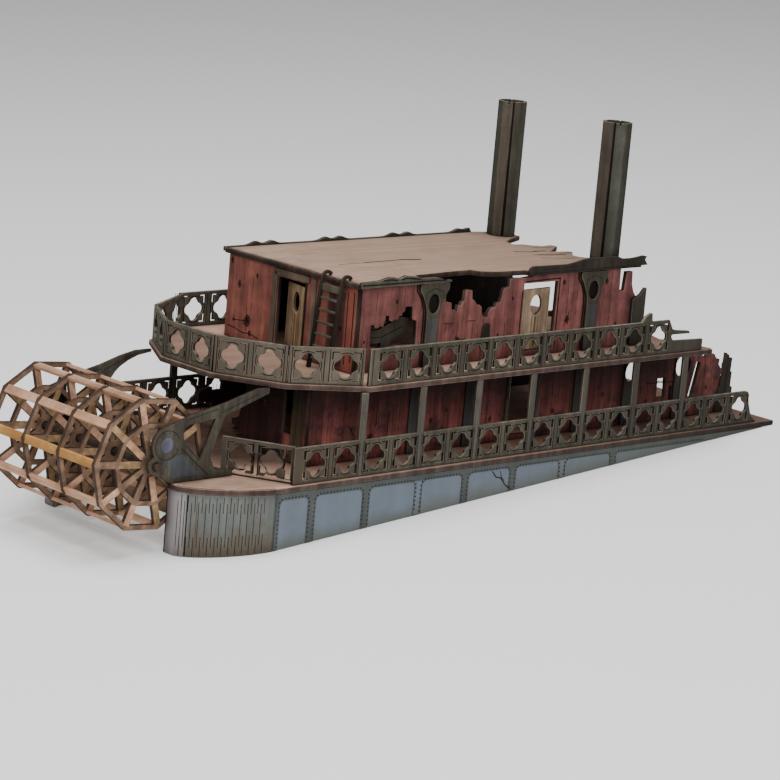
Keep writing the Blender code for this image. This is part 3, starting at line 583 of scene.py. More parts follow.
# %% A torn edge
def splintered(points, seed, slim=1.1, wide=3.4, jag=1.3):
    """A torn edge: the line is followed in plank-wide steps that end at uneven heights."""
    dice = random.Random(seed)
    x0, x1 = points[0][0], points[-1][0]
    way = 1 if x1 > x0 else -1
    torn = []
    x = x0
    while (x1 - x) * way > 0.2:
        reach = min(dice.uniform(slim, wide), abs(x1 - x))
        middle = x + way * reach / 2
        for (ax, az), (bx, bz) in zip(points, points[1:]):
            if (ax - middle) * (bx - middle) <= 0 and ax != bx:
                level = az + (bz - az) * (middle - ax) / (bx - ax)
        level += dice.uniform(-jag, jag * 0.7)
        tilt = dice.uniform(-0.5, 0.5)
        torn += [(x, level - tilt), (x + way * (reach - 0.02), level + tilt)]
        x += way * reach
    return torn


# %% [markdown]
# ## Decks and roof
#
# The decks are bare board with a dull tan wash. Their cut edges and the burnt border beside them frame
# the light top. Each is one board, so one outline each is enough, with the fore ends torn.

# %% Main deck
deck_half = HULL_HALF + 0.8
half_deck = [(-61.7, -52.0), (-109.8, -52.0), *hull_corner(0.8), (360.0, -deck_half)]
deck_outline = half_deck + across(half_deck)
border = (hull_corner(-0.5), across(hull_corner(-0.5)))
deck_marks = []
for k, (x, y) in enumerate(((-84.0, -66.0), (-70.0, -74.0), (352.0, 30.0), (348.0, -40.0), (345.0, 5.0))):
    deck_marks.append((blot(x, y, 2.4, 1.2, k), 4, (1,)))
fan = [(-105.1, -50.5), (-94.8, -50.2), (-71.4, -52.3), (-55.6, -66.7), (-44.6, -82.4), (-61.9, -82.3),
       (-80.1, -79.6), (-98.1, -70.8), (-105.3, -61.2)]
deck_marks += [(side, 5, (1,)) for side in (fan, across(fan))]
sheet("main_deck", deck_outline, flat(-BOARD / 2), "tan", marks=deck_marks,
      lines=[(line, 0.9) for line in border], rim=0.3)


# %% Upper deck
STERN_PANEL = 44.0
STERN_TURN = math.radians(30.0)


def stern_corners(offset=0.0):
    """Corners of the five-sided stern, moved outwards by an offset."""
    x = 1.0
    y = -82.1
    corners = [(x, y)]
    for k in range(1, 6):
        heading = STERN_TURN * k
        x -= STERN_PANEL * math.cos(heading)
        y += STERN_PANEL * math.sin(heading)
        corners.append((x, y))
    moved = []
    for k, (cx, cy) in enumerate(corners):
        outward = STERN_TURN * (k + 0.5)
        moved.append((cx - offset * math.sin(outward), cy - offset * math.cos(outward)))
    return moved


upper_half = 86.2
upper_front = [(293.5, -upper_half), (296.0, -82.5), (292.0, -71.0), (296.0, -62.0), (284.0, -50.0),
               (289.0, -38.0), (262.0, -22.0), (271.0, -8.0), (255.0, 6.0), (268.0, 24.0), (261.0, 40.0),
               (284.0, 55.0), (279.0, 68.0), (296.0, 79.0), (294.0, upper_half)]
upper_outline = [(3.0, -upper_half), *upper_front, (3.0, upper_half), *reversed(stern_corners(2.6))]
sheet("upper_deck", upper_outline, flat(UPPER_DECK + BOARD / 2), "tan", rim=0.3)

# %% Roof
roof_half = 59.3
roof_outline = [(12.0, -roof_half), (62.0, -roof_half), (67.0, -47.5), (84.0, -46.0), (101.0, -44.8),
                (115.0, -44.3), (117.0, -49.5), (122.0, -52.5), (128.0, -54.5), (149.0, -56.0),
                (150.0, -roof_half), (249.0, -roof_half), (247.0, -50.0), (241.0, -44.0), (240.5, -36.0),
                (226.0, -36.5), (221.8, -32.0), (221.5, -26.0), (230.5, -17.5), (229.0, -14.5), (216.0, -12.0),
                (235.5, 1.0), (235.0, 6.3), (226.0, 5.0), (221.0, 8.5), (217.0, 13.5), (210.5, 15.5),
                (213.0, 24.0), (224.0, 31.0), (238.6, 37.5), (238.6, 53.0), (220.0, roof_half), (12.0, roof_half)]
roof_crack = [((43.4, -6.8), (65.0, -6.5)), ((64.0, -6.4), (94.8, -5.4)), ((94.0, -5.2), (108.0, -8.6))]
roof_lines = [(roof_crack[0], 0.7), (roof_crack[1], 1.5), (roof_crack[2], 2.4),
              (((190.1, -5.3), (200.9, -9.2), (214.0, -8.8)), 1.5),
              (((195.6, -17.6), (206.0, -21.4), (219.0, -23.4)), 1.3),
              (((192.0, -27.6), (206.9, -32.6), (215.0, -34.6)), 1.1), (((150.6, -57.6), (240.0, -57.6)), 2.4),
              (((214.8, 2.8), (228.0, -1.0)), 0.8), (((205.7, -7.4), (214.6, -9.9)), 1.0),
              (((198.7, -17.9), (214.4, -20.7)), 0.7), (((214.4, -20.7), (229.4, -17.8)), 0.7),
              (((12.9, -58.6), (12.9, 58.6)), 0.9), (((12.6, 58.5), (218.0, 58.5)), 1.0),
              (((13.0, -58.5), (61.5, -58.5)), 0.6)]
# Its underside takes the near-black of the engraved lines: painted shade for the cabin's unlit inside.
sheet("roof", roof_outline, flat(ROOF_Z + BOARD / 2), "roof", lines=roof_lines, rim=0.3, back=3)

# %% [markdown]
# ## Hull
#
# The hull's sides are a smooth blue-grey skin under a comb of greener frames, which stand a third of a
# millimetre proud. A bump could fake them, but a real layer catches the light along every rounded
# corner. Dark rivet heads follow the border of each panel.

# %% The hull's foot
def foot_z(x):
    return FOOT_SLOPE * x - HULL_DEPTH


# %% Outline of the frames
SKIN_TOP = -BOARD - GAP
RIBS = (-35.2, 5.5, 46.0, 83.5, 122.8, 164.8, 209.8)
RIB_HALF = 2.9
FRAME_LAYER = 0.3
FRAME_FOOT = -7.1
RIVET_EDGE = 0.9
RIVET_STEP = 2.5


def rounded_top(x0, x1, top, radius, steps=5):
    """The top of a panel opening with two rounded corners, from left to right."""
    points = []
    for i in range(steps + 1):
        angle = i * (math.pi / 2) / steps
        points.append((x0 + radius - radius * math.cos(angle), top - radius + radius * math.sin(angle)))
    for i in range(steps + 1):
        angle = i * (math.pi / 2) / steps
        points.append((x1 - radius + radius * math.sin(angle), top - radius + radius * math.cos(angle)))
    return points


def panel_spans():
    """The two ends of each panel between the ribs."""
    return zip([-58.6, *[rib + RIB_HALF for rib in RIBS[:-1]]], [rib - RIB_HALF for rib in RIBS])


LAST_PANEL = RIBS[-1] + RIB_HALF
FRAME_END = 298.0


def frame_outline():
    """The comb: a band under the deck with a rib at each frame, down to the hull's foot."""
    outline = [(349.5, SKIN_TOP), (-61.4, SKIN_TOP), (-61.4, foot_z(-61.4) + 0.2),
               (-58.6, foot_z(-58.6) + 0.2)]
    for x0, x1 in panel_spans():
        outline += rounded_top(x0, x1, FRAME_FOOT + 0.002 * x0, 3.2)
        outline += [(x1, foot_z(x1) + 0.2), (x1 + 2 * RIB_HALF, foot_z(x1 + 2 * RIB_HALF) + 0.2)]
    outline += rounded_top(LAST_PANEL, FRAME_END, FRAME_FOOT, 1.6)[:8]
    return outline + [(FRAME_END, FRAME_FOOT), (300.0, foot_z(300.0)), (349.5, foot_z(349.5))]


# %% Rows of rivets
def arc_points(points):
    """Distance along a line of points, and a function that gives the place and direction at a distance."""
    reach = [0.0]
    for a, b in zip(points, points[1:]):
        reach.append(reach[-1] + (Vector(b) - Vector(a)).length)

    def at(distance):
        for i in range(len(points) - 1):
            if distance <= reach[i + 1] or i == len(points) - 2:
                a = Vector(points[i])
                b = Vector(points[i + 1])
                t = (distance - reach[i]) / max(reach[i + 1] - reach[i], 1e-6)
                return a + (b - a) * t, (b - a).normalized()
    return reach[-1], at


def rivet_rows(side):
    """Dark rivet heads that follow the border of each panel."""
    shape = bmesh.new()
    y = side * (HULL_HALF + FRAME_LAYER)
    borders = [[(x0 - RIVET_EDGE, foot_z(x0) + 1.0),
                *rounded_top(x0 - RIVET_EDGE, x1 + RIVET_EDGE, FRAME_FOOT + RIVET_EDGE, 3.8),
                (x1 + RIVET_EDGE, foot_z(x1) + 1.0)] for x0, x1 in panel_spans()]
    borders.append([(LAST_PANEL - RIVET_EDGE, foot_z(LAST_PANEL) + 1.0),
                    *rounded_top(LAST_PANEL - RIVET_EDGE, FRAME_END, FRAME_FOOT + RIVET_EDGE, 2.2)[:6],
                    (294.0, FRAME_FOOT + RIVET_EDGE)])
    for border in borders:
        total, at = arc_points(border)
        for i in range(int(total / RIVET_STEP)):
            x, z = at((i + 0.5) * RIVET_STEP)[0]
            dome(shape, 0.55, 0.22, turned(x, y, z, -side * UPRIGHT), 0, 6)
    return shape


# %% Hull sides
cracks = [([(105.5, -7.7), (109.0, -11.5), (113.0, -12.4), (117.0, -17.0), (122.5, -20.4)], 0.6),
          ([(112.0, -8.0), (113.5, -12.0), (116.0, -14.5)], 0.4)]
for side_name, side in BOTH:
    skin = [(-61.7, foot_z(-61.7)), (350.0, foot_z(350.0)), (350.0, SKIN_TOP), (-61.7, SKIN_TOP)]
    sheet("hull_side_" + side_name, skin, lengthwise(side * (HULL_HALF - BOARD / 2)), "hull")
    shape = bmesh.new()
    fill_board(shape, frame_outline(), (), FRAME_LAYER, lengthwise(side * (HULL_HALF + FRAME_LAYER / 2)),
               rim=0.1, lines=cracks if side < 0 else ())
    finish_piece("hull_frames_" + side_name, shape, (FRAME, RIVET, RIVET, BURN))
    finish_piece("hull_rivets_" + side_name, rivet_rows(side), (RIVET,))

# %% [markdown]
# At the stern the skin is slit in staggered rows, so that flat board bends round the deck's corner. The
# slits are burnt through, so they read as dark upright strokes that stop short of each other. Cutting
# each one would give thousands of faces for nothing, so they are strips that follow the bend.

# %% A slit
def upright_strip(shape, at, distance, width, z0, z1, out, slot):
    """A burnt slit on the outside of the bent skin."""
    corners = []
    for s, z in ((-1, z0), (1, z0), (1, z1), (-1, z1)):
        spot, along = at(distance + s * width / 2)
        normal = Vector((along.y, -along.x)) * out
        corners.append(shape.verts.new((spot.x + normal.x * 0.04, spot.y + normal.y * 0.04, z)))
    face = shape.faces.new(corners)
    face.normal_update()
    if face.normal.dot(Vector((normal.x, normal.y, 0))) < 0:
        face.normal_flip()
    face.material_index = slot


# %% The bent skin
SLITS_FROM = 9.5
SLIT_STEP = 1.95
SLIT_WIDTH = 0.34
for side_name, side in BOTH:
    outer = hull_corner(0.0)
    inner = hull_corner(-TRIM)
    outline = [(-109.0, -50.4), *outer, *reversed(inner), (-107.0, -50.4)]
    rails = [(-109.0, -50.4), *outer]
    if side > 0:
        outline = across(outline)
        rails = [(a, -b) for a, b in rails]
    shape = bmesh.new()
    low = foot_z(-110.0)
    fill_board(shape, outline, (), SKIN_TOP - low, flat((SKIN_TOP + low) / 2), slots=(1, 0, 0), rim=0.1)
    cut = bmesh.ops.bisect_plane(shape, geom=shape.verts[:] + shape.edges[:] + shape.faces[:],
                                 plane_co=(0.0, 0.0, foot_z(0.0)), plane_no=(FOOT_SLOPE, 0.0, -1.0),
                                 clear_outer=True)
    rim_edges = [e for e in cut["geom_cut"] if isinstance(e, bmesh.types.BMEdge)]
    bmesh.ops.edgeloop_fill(shape, edges=rim_edges)
    total, at = arc_points(rails)
    for i in range(int((total - SLITS_FROM - 3.0) / SLIT_STEP)):
        distance = SLITS_FROM + i * SLIT_STEP
        spot, _ = at(distance)
        low = foot_z(spot.x)
        rows = ((-4.4, -13.5), (low + 11.5, low + 0.8)) if i % 2 else ((-7.5 - CUTS.uniform(0, 1), low + 5.5),)
        for top, bottom in rows:
            upright_strip(shape, at, distance, SLIT_WIDTH, bottom, top, -side, 3)
    for distance, width, slot in ((0.5, 0.8, 3), (11.6, 0.4, 4), (14.9, 0.7, 3), (20.3, 0.4, 4)):
        upright_strip(shape, at, distance, width, foot_z(at(distance)[0].x) + 0.6, -4.0, -side, slot)
    finish_piece("hull_wrap_%s_look" % side_name, shape, PAINTS["wrap"][0], ["hull_wrap_" + side_name])

# %% [markdown]
# ## Cabin walls
#
# The walls look planked: fine upright joints, dark knots and a few splits. The planks could be boards
# of their own, but the joints look engraved, so each wall is one board. Its outline carries the torn
# ends, and the planks are drawn on it.

# %% Engraved planks
def plank_lines(x0, x1, z0, z1, step=5.2, width=0.26, keep=0.62):
    """Upright joints between planks, each broken into a few lengths."""
    lines = []
    x = x0 + step * 0.6
    while x < x1 - 1.0:
        z = z0 + CUTS.uniform(0.5, 5.0)
        while z < z1 - 2.0:
            reach = CUTS.uniform(5.0, 22.0)
            if CUTS.random() < keep:
                lines.append((((x, z), (x + CUTS.uniform(-0.15, 0.15), min(z + reach, z1 - 0.6))), width))
            z += reach + CUTS.uniform(1.0, 5.0)
        x += step * CUTS.uniform(0.8, 1.2)
    return lines


# %% A wall
# Which side of the board is the outside of the cabin. The inner face takes the near-black painted shade
# of the unlit inside.
OUT_UP = {"slots": (0, 1, 2), "back": 5}
OUT_DOWN = {"slots": (5, 1, 2), "back": 0}


def wall(name, outline, place, paint, holes, lines, marks, sides, extra=()):
    """A painted wall with a dark inner face; extra strips are (outline, thickness, place, slot)."""
    shape = bmesh.new()
    fill_board(shape, outline, holes, BOARD, place, lines=lines, marks=marks, **sides)
    for strip, thick, where, slot in extra:
        fill_board(shape, strip, (), thick, where, slots=(slot, slot, slot), rim=0.12)
    materials, slot = PAINTS[paint]
    finish_piece(name + "_look", shape, materials, [name])


# %% Lower aft wall
low_aft = crosswise(LOWER_AFT - 0.4)
torn_half = [(-4.0, GAP), (-3.7, 7.1), (1.2, 10.0), (7.0, 11.5), (7.2, 14.5), (1.0, 17.0), (-0.6, 25.7),
             (-3.7, 34.3), (-2.0, 41.0), (-6.0, WALL_TOP_LOW)]
wall("lower_wall_aft", [(-CABIN_HALF, GAP), *torn_half, (-CABIN_HALF, WALL_TOP_LOW)],
     crosswise(LOWER_AFT + BOARD / 2), "low", [rectangle(-45.5, 16.5, -37.0, 44.0)],
     plank_lines(-CABIN_HALF, -46.5, 1, 48) + plank_lines(-36.5, -6.0, 1, 48),
     knots([(-52.6, 22.9, 1.3), (-22.0, 30.0, 1.4), (-50.0, 36.0, 1.0)]), OUT_DOWN,
     [(rectangle(-49.6, 1.0, -45.7, 46.0), 0.8, low_aft, 6),
      (rectangle(-55.6, 1.0, -50.0, 46.0), 0.6, low_aft, 6)])

# %% Outlines of the lower side walls
x0 = LOWER_AFT + BOARD + GAP
bow_end = [(335.5, GAP), (336.8, 12.0), (338.7, 23.0), (341.0, 28.5), (339.0, 29.7), (336.5, 32.5),
           (337.0, 35.9), (333.5, 36.8), (331.3, 39.7), (326.0, 40.5), (321.5, 37.0), (318.0, 42.0),
           (312.0, 40.0), (306.0, 45.0), (297.0, WALL_TOP_LOW)]
port_aft = [(14.0, WALL_TOP_LOW), (16.0, 38.0), (10.0, 32.0), (13.5, 24.0), (13.2, 18.8), (5.4, 18.8),
            (5.4, 21.0), (-1.4, 20.3), (-5.2, 18.1), (-4.9, 12.3), (5.3, 11.4), (5.3, 6.8), (14.1, 6.3),
            (14.1, 10.6), (28.5, 9.4), (31.5, 5.0), (33.0, GAP)]
low_holes = [rectangle(144.5, GAP + 3.0, 168.0, 42.0),
             [(278.6, 15.0), (287.0, 15.0), (286.2, 27.6), (278.4, 27.6)],
             [(308.6, 12.0), (313.0, 12.0), (318.4, 35.0), (314.6, 36.0)], oval(254.4, 34.2, 15.0, 14.0),
             oval(301.4, 34.2, 15.0, 14.0)]
post_outline = [(336.6, GAP), (355.0, GAP), (354.6, 8.0), (352.6, 9.0), (352.4, 16.0), (350.4, 17.0),
                (350.6, 26.0), (349.2, 27.0), (349.6, 35.6), (348.4, 36.0), (347.2, 33.0), (346.2, 38.0),
                (345.0, 38.2), (343.6, 39.4), (343.2, 33.0), (342.4, 31.5), (343.0, 24.0), (340.2, 23.5),
                (340.6, 18.0), (338.4, 17.0), (338.6, 11.0), (336.9, 10.0)]
# Middle and width of each narrow post, and the middle of its oval light where it has one
low_pilasters = ((66.3, 9.2, 0.0), (111.8, 9.8, 0.0), (205.5, 9.8, 0.0), (251.8, 12.4, 251.4),
                 (299.0, 11.6, 298.6))

# %% Lower side walls
for side_name, side, aft_end in (("starboard", -1, [(x0, WALL_TOP_LOW), (x0, GAP)]), ("port", 1, port_aft)):
    y = side * (CABIN_HALF - BOARD / 2)
    lines = plank_lines(-8, 61, 1, 47) + plank_lines(72, 106, 1, 47) + plank_lines(118, 143, 1, 47)
    lines += plank_lines(170, 200, 1, 47) + plank_lines(211, 247, 1, 47) + plank_lines(260, 278, 1, 47)
    lines += plank_lines(305, 334, 1, 36)
    lines += [(((37.0, 34.0), (36.8, 19.0)), 0.7), (((46.3, 27.0), (46.0, 13.0)), 0.8),
              (((15.0, 22.0), (18.0, 18.0), (20.5, 15.0)), 0.5),
              (((268.0, 25.4), (276.0, 25.0), (293.0, 24.6)), 0.6),
              (((291.0, 22.0), (291.4, 8.0)), 2.6), (((303.6, 40.0), (304.0, 4.0)), 1.6)]
    wall("lower_wall_" + side_name, [*bow_end, *aft_end], lengthwise(y), "low", low_holes, lines,
         knots([(32.8, 13.2, 1.5), (80.8, 18.7, 1.4), (18.0, 19.3, 0.8), (93.0, 24.0, 1.1), (130.0, 15.0, 1.2),
                (184.0, 15.0, 1.3), (228.0, 22.0, 1.2), (269.0, 14.0, 1.0), (326.0, 18.0, 1.1)]),
         OUT_UP if side < 0 else OUT_DOWN)
    sheet("front_post_" + side_name, post_outline, lengthwise(y), "shade",
          lines=[(((346.0, 32.0), (345.4, 18.0), (346.4, 2.0)), 0.7)])
    shape = bmesh.new()
    for middle, width, light in low_pilasters:
        bar = rectangle(middle - width / 2, GAP + 0.2, middle + width / 2, WALL_TOP_LOW - 0.2)
        holes = [oval(light, 34.3, 10.2, 13.0)] if light else ()
        fill_board(shape, bar, holes, 1.2, lengthwise(side * (CABIN_HALF + 0.65)))
    for edge in (142.8, 169.0):
        fill_board(shape, rectangle(edge - 1.1, GAP + 0.2, edge + 1.1, 45.0), (), 1.0,
                   lengthwise(side * (CABIN_HALF + 0.55)))
    finish_piece("lower_pilasters_" + side_name, shape, (SHADE_LOW, EDGE, SHADE_LOW))

# %% [markdown]
# The upper walls are the ones that the light falls on. Their torn tops follow the solids in outline, and
# step from plank to plank as splintered wood does.

# %% Upper aft wall
floor = DECK_TOP + GAP
up_aft = crosswise(UPPER_AFT - 0.4)
wall("upper_wall_aft", rectangle(-CABIN_HALF, floor, CABIN_HALF, WALL_TOP_HIGH),
     crosswise(UPPER_AFT + BOARD / 2), "aft", [rectangle(-13.0, floor + 3.0, 11.5, 96.0)],
     plank_lines(17, 56, floor, 100, 7.0, 0.22, 0.4) + plank_lines(-18, -14, floor, 100)
     + [(((54.5, 58.6), (48.0, 58.0), (40.0, 56.4), (33.5, 57.2), (26.0, 55.6)), 0.6),
        (((-49.6, 98.0), (-50.2, 56.0)), 0.7), (((-54.8, 99.0), (-55.2, 58.0)), 0.8),
        (((50.0, 62.6), (42.0, 63.6), (34.0, 64.0)), 0.5), (((38.0, 72.0), (37.4, 58.0)), 0.5)],
     knots([(45.9, 84.9, 1.5), (37.0, 64.8, 2.6), (30.5, 92.6, 0.9), (49.0, 62.9, 0.9), (54.0, 98.0, 1.2),
            (33.9, 57.2, 1.2), (-45.0, 76.0, 1.0)], (-1,))
     + [(rectangle(-47.6, floor + 2.0, -33.4, 97.0), 7, (-1,))], OUT_DOWN,
     [(rectangle(12.0, floor + 2.0, 15.8, 99.6), 0.8, up_aft, 6),
      (rectangle(-16.2, 96.8, 14.2, 100.6), 0.8, up_aft, 6),
      (rectangle(-22.4, floor + 2.0, -18.9, 100.0), 0.8, up_aft, 6),
      (rectangle(-14.2, floor + 2.0, -13.1, 98.0), 0.7, up_aft, 3)])

# %% Torn top and hole of the upper starboard wall
fore_top = [(250.0, 82.0), (247.0, 85.4), (244.9, 90.6), (244.3, 98.7), (238.9, 98.7), (237.9, 87.2),
            (233.9, 86.8), (233.3, WALL_TOP_HIGH)]
broken_top = [(153.2, 100.4), (146.5, 99.9), (140.6, 100.4), (136.5, 100.1), (136.3, 95.3), (134.4, 95.1),
              (131.9, 94.4), (131.2, 92.0), (130.6, 89.5), (130.0, 86.5), (126.7, 86.1), (126.0, 83.7),
              (122.7, 83.3), (120.5, 81.0), (120.3, 78.0), (118.2, 77.8), (115.2, 79.6), (114.6, 84.5),
              (112.4, 85.9), (110.3, 86.0), (108.5, 88.5), (106.1, 89.9), (105.7, 94.8), (103.1, 95.6),
              (100.2, 95.1), (99.7, 89.1), (98.0, 88.6), (97.0, 86.2), (95.0, 87.0), (94.3, 82.8), (91.6, 84.4),
              (90.4, 83.7), (89.7, 85.5), (89.1, 88.6), (85.4, 89.4), (84.4, 88.9), (84.0, WALL_TOP_HIGH)]
wall_x0 = UPPER_AFT + BOARD + GAP
wall_hole = [(63.0, 65.6), (62.2, 79.8), (58.6, 80.7), (57.9, 88.4), (52.6, 88.7), (52.2, 85.9), (50.4, 85.1),
             (50.0, 83.4), (48.1, 83.8), (47.4, 81.5), (44.8, 81.4), (42.6, 80.6), (40.5, 81.1), (40.0, 84.1),
             (37.8, 84.5), (37.4, 81.3), (36.4, 80.8), (36.1, 77.5), (33.2, 78.7), (32.7, 77.2), (29.4, 77.7),
             (28.5, 79.8), (26.4, 79.1), (26.8, 66.6), (34.0, 65.4), (47.0, 66.2)]
POSTS = (("aft", 73.0), ("middle", 208.0))
wall_lights = [oval(x, 89.5, 12.0, 14.0) for _, x in POSTS]

# %% Engraving of the upper starboard wall
lines = plank_lines(18, 66, 84, 100, 4.4) + plank_lines(18, 26, floor, 80, 4.0)
lines += plank_lines(79, 148, floor, 78, 4.4)
lines += plank_lines(180, 200, floor, 100, 4.6) + plank_lines(214, 232, floor, 100, 4.6)


def beside_post(x):
    """The dark seam on the wall along the aft side of a post."""
    return [(x - 5.9, floor + 1.0), (x - 5.9, 81.0), (x - 6.6, 87.0), (x - 8.8, 92.6), (x - 12.3, 97.0),
            (x - 12.6, 100.6)]


lines += [(beside_post(73.0), 1.1), (beside_post(208.0), 1.3), (((150.0, 97.6), (180.0, 98.2)), 0.8),
          (((148.0, 56.0), (147.8, 92.0)), 0.9), (((179.4, 98.0), (179.6, 56.0)), 0.9),
          (((79.6, 54.0), (79.6, 84.0)), 0.7), (((17.4, 54.0), (17.4, 100.0)), 0.7),
          (((186.0, 68.0), (188.6, 72.1), (190.4, 77.0)), 0.5), (((93.0, 65.4), (103.0, 66.0)), 0.6),
          (((84.0, 76.4), (92.0, 76.0)), 0.4), (((104.0, 76.8), (110.0, 76.5)), 0.5)]

# %% Upper side walls
wall("upper_wall_starboard", [(wall_x0, floor), (250.0, floor), *fore_top, (160.0, WALL_TOP_HIGH), *broken_top,
                              (wall_x0, WALL_TOP_HIGH)],
     lengthwise(-CABIN_HALF + BOARD / 2), "red",
     [wall_hole, rectangle(149.0, floor + 3.0, 178.0, 96.5)], lines,
     knots([(188.6, 72.1, 2.0), (221.4, 94.0, 1.3), (183.4, 95.4, 1.3), (96.4, 65.8, 1.8), (45.0, 92.0, 0.9),
            (129.8, 66.6, 0.8), (233.0, 66.0, 0.9), (140.0, 88.0, 0.8), (22.0, 70.0, 0.7)])
     + [(light, 3, (1,)) for light in wall_lights], OUT_UP)
port_top = [(250.0, 71.0), (243.0, 78.0), (238.0, 93.0), (226.0, 90.0), (214.0, WALL_TOP_HIGH)]
wall("upper_wall_port", [(wall_x0, floor), (250.0, floor), *splintered(port_top, 5), (wall_x0, WALL_TOP_HIGH)],
     lengthwise(CABIN_HALF - BOARD / 2), "red", [rectangle(120.0, floor + 3.0, 144.0, 96.5)],
     plank_lines(18, 118, floor, 100) + plank_lines(146, 212, floor, 100),
     knots([(40.0, 80.0, 1.5), (92.0, 66.0, 1.8), (188.0, 84.0, 1.4), (226.0, 70.0, 1.0)]), OUT_DOWN)

# %% [markdown]
# ## Posts, cornices and chimneys
#
# The posts flare under the roof into hollow shoulders, with an oval opening that shows a dark recess. The
# cornices carry small humps: the near ones are traced, the far one is a sum of smooth bumps. Each
# chimney could be one eight-sided tube, but it is glued up from eight narrow boards, and its open
# joints are what the eye sees, so it is built board by board round a near-black liner, which is
# painted shade inside the joints.

# %% Upper posts
def pilaster_outline(x):
    """A straight shaft that flares to the roof."""
    shaft = 5.0
    flare = 11.5
    left = [(x - shaft, floor), (x - shaft, 81.0), (x - shaft - 0.4, 85.0), (x - shaft - 1.4, 88.6),
            (x - shaft - 3.2, 92.6), (x - shaft - 5.0, 95.6), (x - flare, 97.5), (x - flare, WALL_TOP_HIGH)]
    right = [(2 * x - a, b) for a, b in reversed(left)]
    return left[::-1] + right[::-1]


broken_post = [(245.0, floor), (256.5, floor), (256.3, 88.0), (254.3, 88.0), (251.0, 84.2), (247.6, 82.6),
               (244.6, 81.5)]
for side_name, side in BOTH:
    y = side * (CABIN_HALF + GAP + TRIM / 2)
    for label, x in POSTS:
        curl = [(x - 7.6, 92.0), (x - 6.4, 96.5), (x, 98.6), (x + 6.4, 96.5), (x + 7.6, 92.0)]
        sheet("pilaster_%s_%s" % (label, side_name), pilaster_outline(x), lengthwise(y), "grey",
              [oval(x, 89.5, 8.6, 12.0, 28)], TRIM, lines=[(curl, 0.35)],
              marks=[(rectangle(x - 4.3, floor + 0.5, x + 4.3, 80.6), 4, (1, -1))])
    sheet("pilaster_fore_" + side_name, broken_post, lengthwise(y), "grey", (), TRIM)


# %% Cornices
def wave_strip(x0, x1, humps, low, high, spread=4.6, count=96):
    """A strip whose top swells at each hump."""
    top = []
    for i in range(count + 1):
        x = x0 + (x1 - x0) * i / count
        lift = sum(math.exp(-((x - hump) / spread) ** 2) for hump in humps)
        top.append((x, low + (high - low) * min(lift, 1.0)))
    top[-1] = (x1, low * 0.6)
    return [(x0, 0.0), (x1, 0.0), *reversed(top)]


cornice_foot = ROOF_Z + 0.8
aft_strip = [(12.5, 0.0), (83.6, 0.0), (83.4, 1.2), (79.6, 1.4), (76.5, 1.8), (72.0, 3.2), (68.5, 3.5),
             (59.5, 3.5), (57.0, 4.2), (54.3, 4.8), (50.0, 5.3), (46.5, 5.8), (44.0, 4.9), (41.2, 4.3),
             (38.5, 5.0), (34.3, 5.4), (31.0, 4.9), (27.0, 4.0), (23.8, 3.8), (12.5, 3.3)]
cornice_y = roof_half + GAP + TRIM / 2
fore_strip = [(148.0, 0.0), (252.3, 1.0), (249.5, 4.4), (251.0, 6.4), (248.0, 7.0), (243.0, 6.3), (237.5, 5.8),
              (232.0, 5.8), (228.5, 6.2), (226.0, 7.2), (224.0, 7.6), (202.0, 7.6), (195.5, 7.2), (188.5, 6.0),
              (181.0, 4.9), (150.8, 5.2), (148.6, 4.2)]
for name, y, outline, lines in (
        ("cornice_aft_starboard", -cornice_y, aft_strip,
         [(((13.0, 1.6), (79.0, 1.5)), 0.8), (((29.0, 3.6), (35.0, 3.9), (40.0, 3.3)), 0.7),
          (((43.0, 3.4), (47.0, 4.2), (58.0, 3.0)), 0.8)]),
        ("cornice_fore_starboard", -cornice_y, fore_strip,
         [(((150.0, 1.2), (250.0, 1.4)), 0.35), (((158.0, 2.9), (196.0, 3.4)), 0.3)]),
        ("cornice_port", cornice_y,
         wave_strip(12.0, 217.0, (36.0, 48.5, 92.0, 104.0, 148.5, 160.5, 205.0, 214.5), 2.6, 4.7),
         [(((14.0, 1.1), (215.0, 1.1)), 0.35)])):
    place = Matrix.Translation((0.0, 0.0, cornice_foot)) @ lengthwise(y)
    sheet(name, outline, place, "shade" if "fore" in name else "grey", (), TRIM, lines=lines)


# %% Chimneys
CHIMNEY_X = 229.0
CHIMNEY_WALL = 1.6


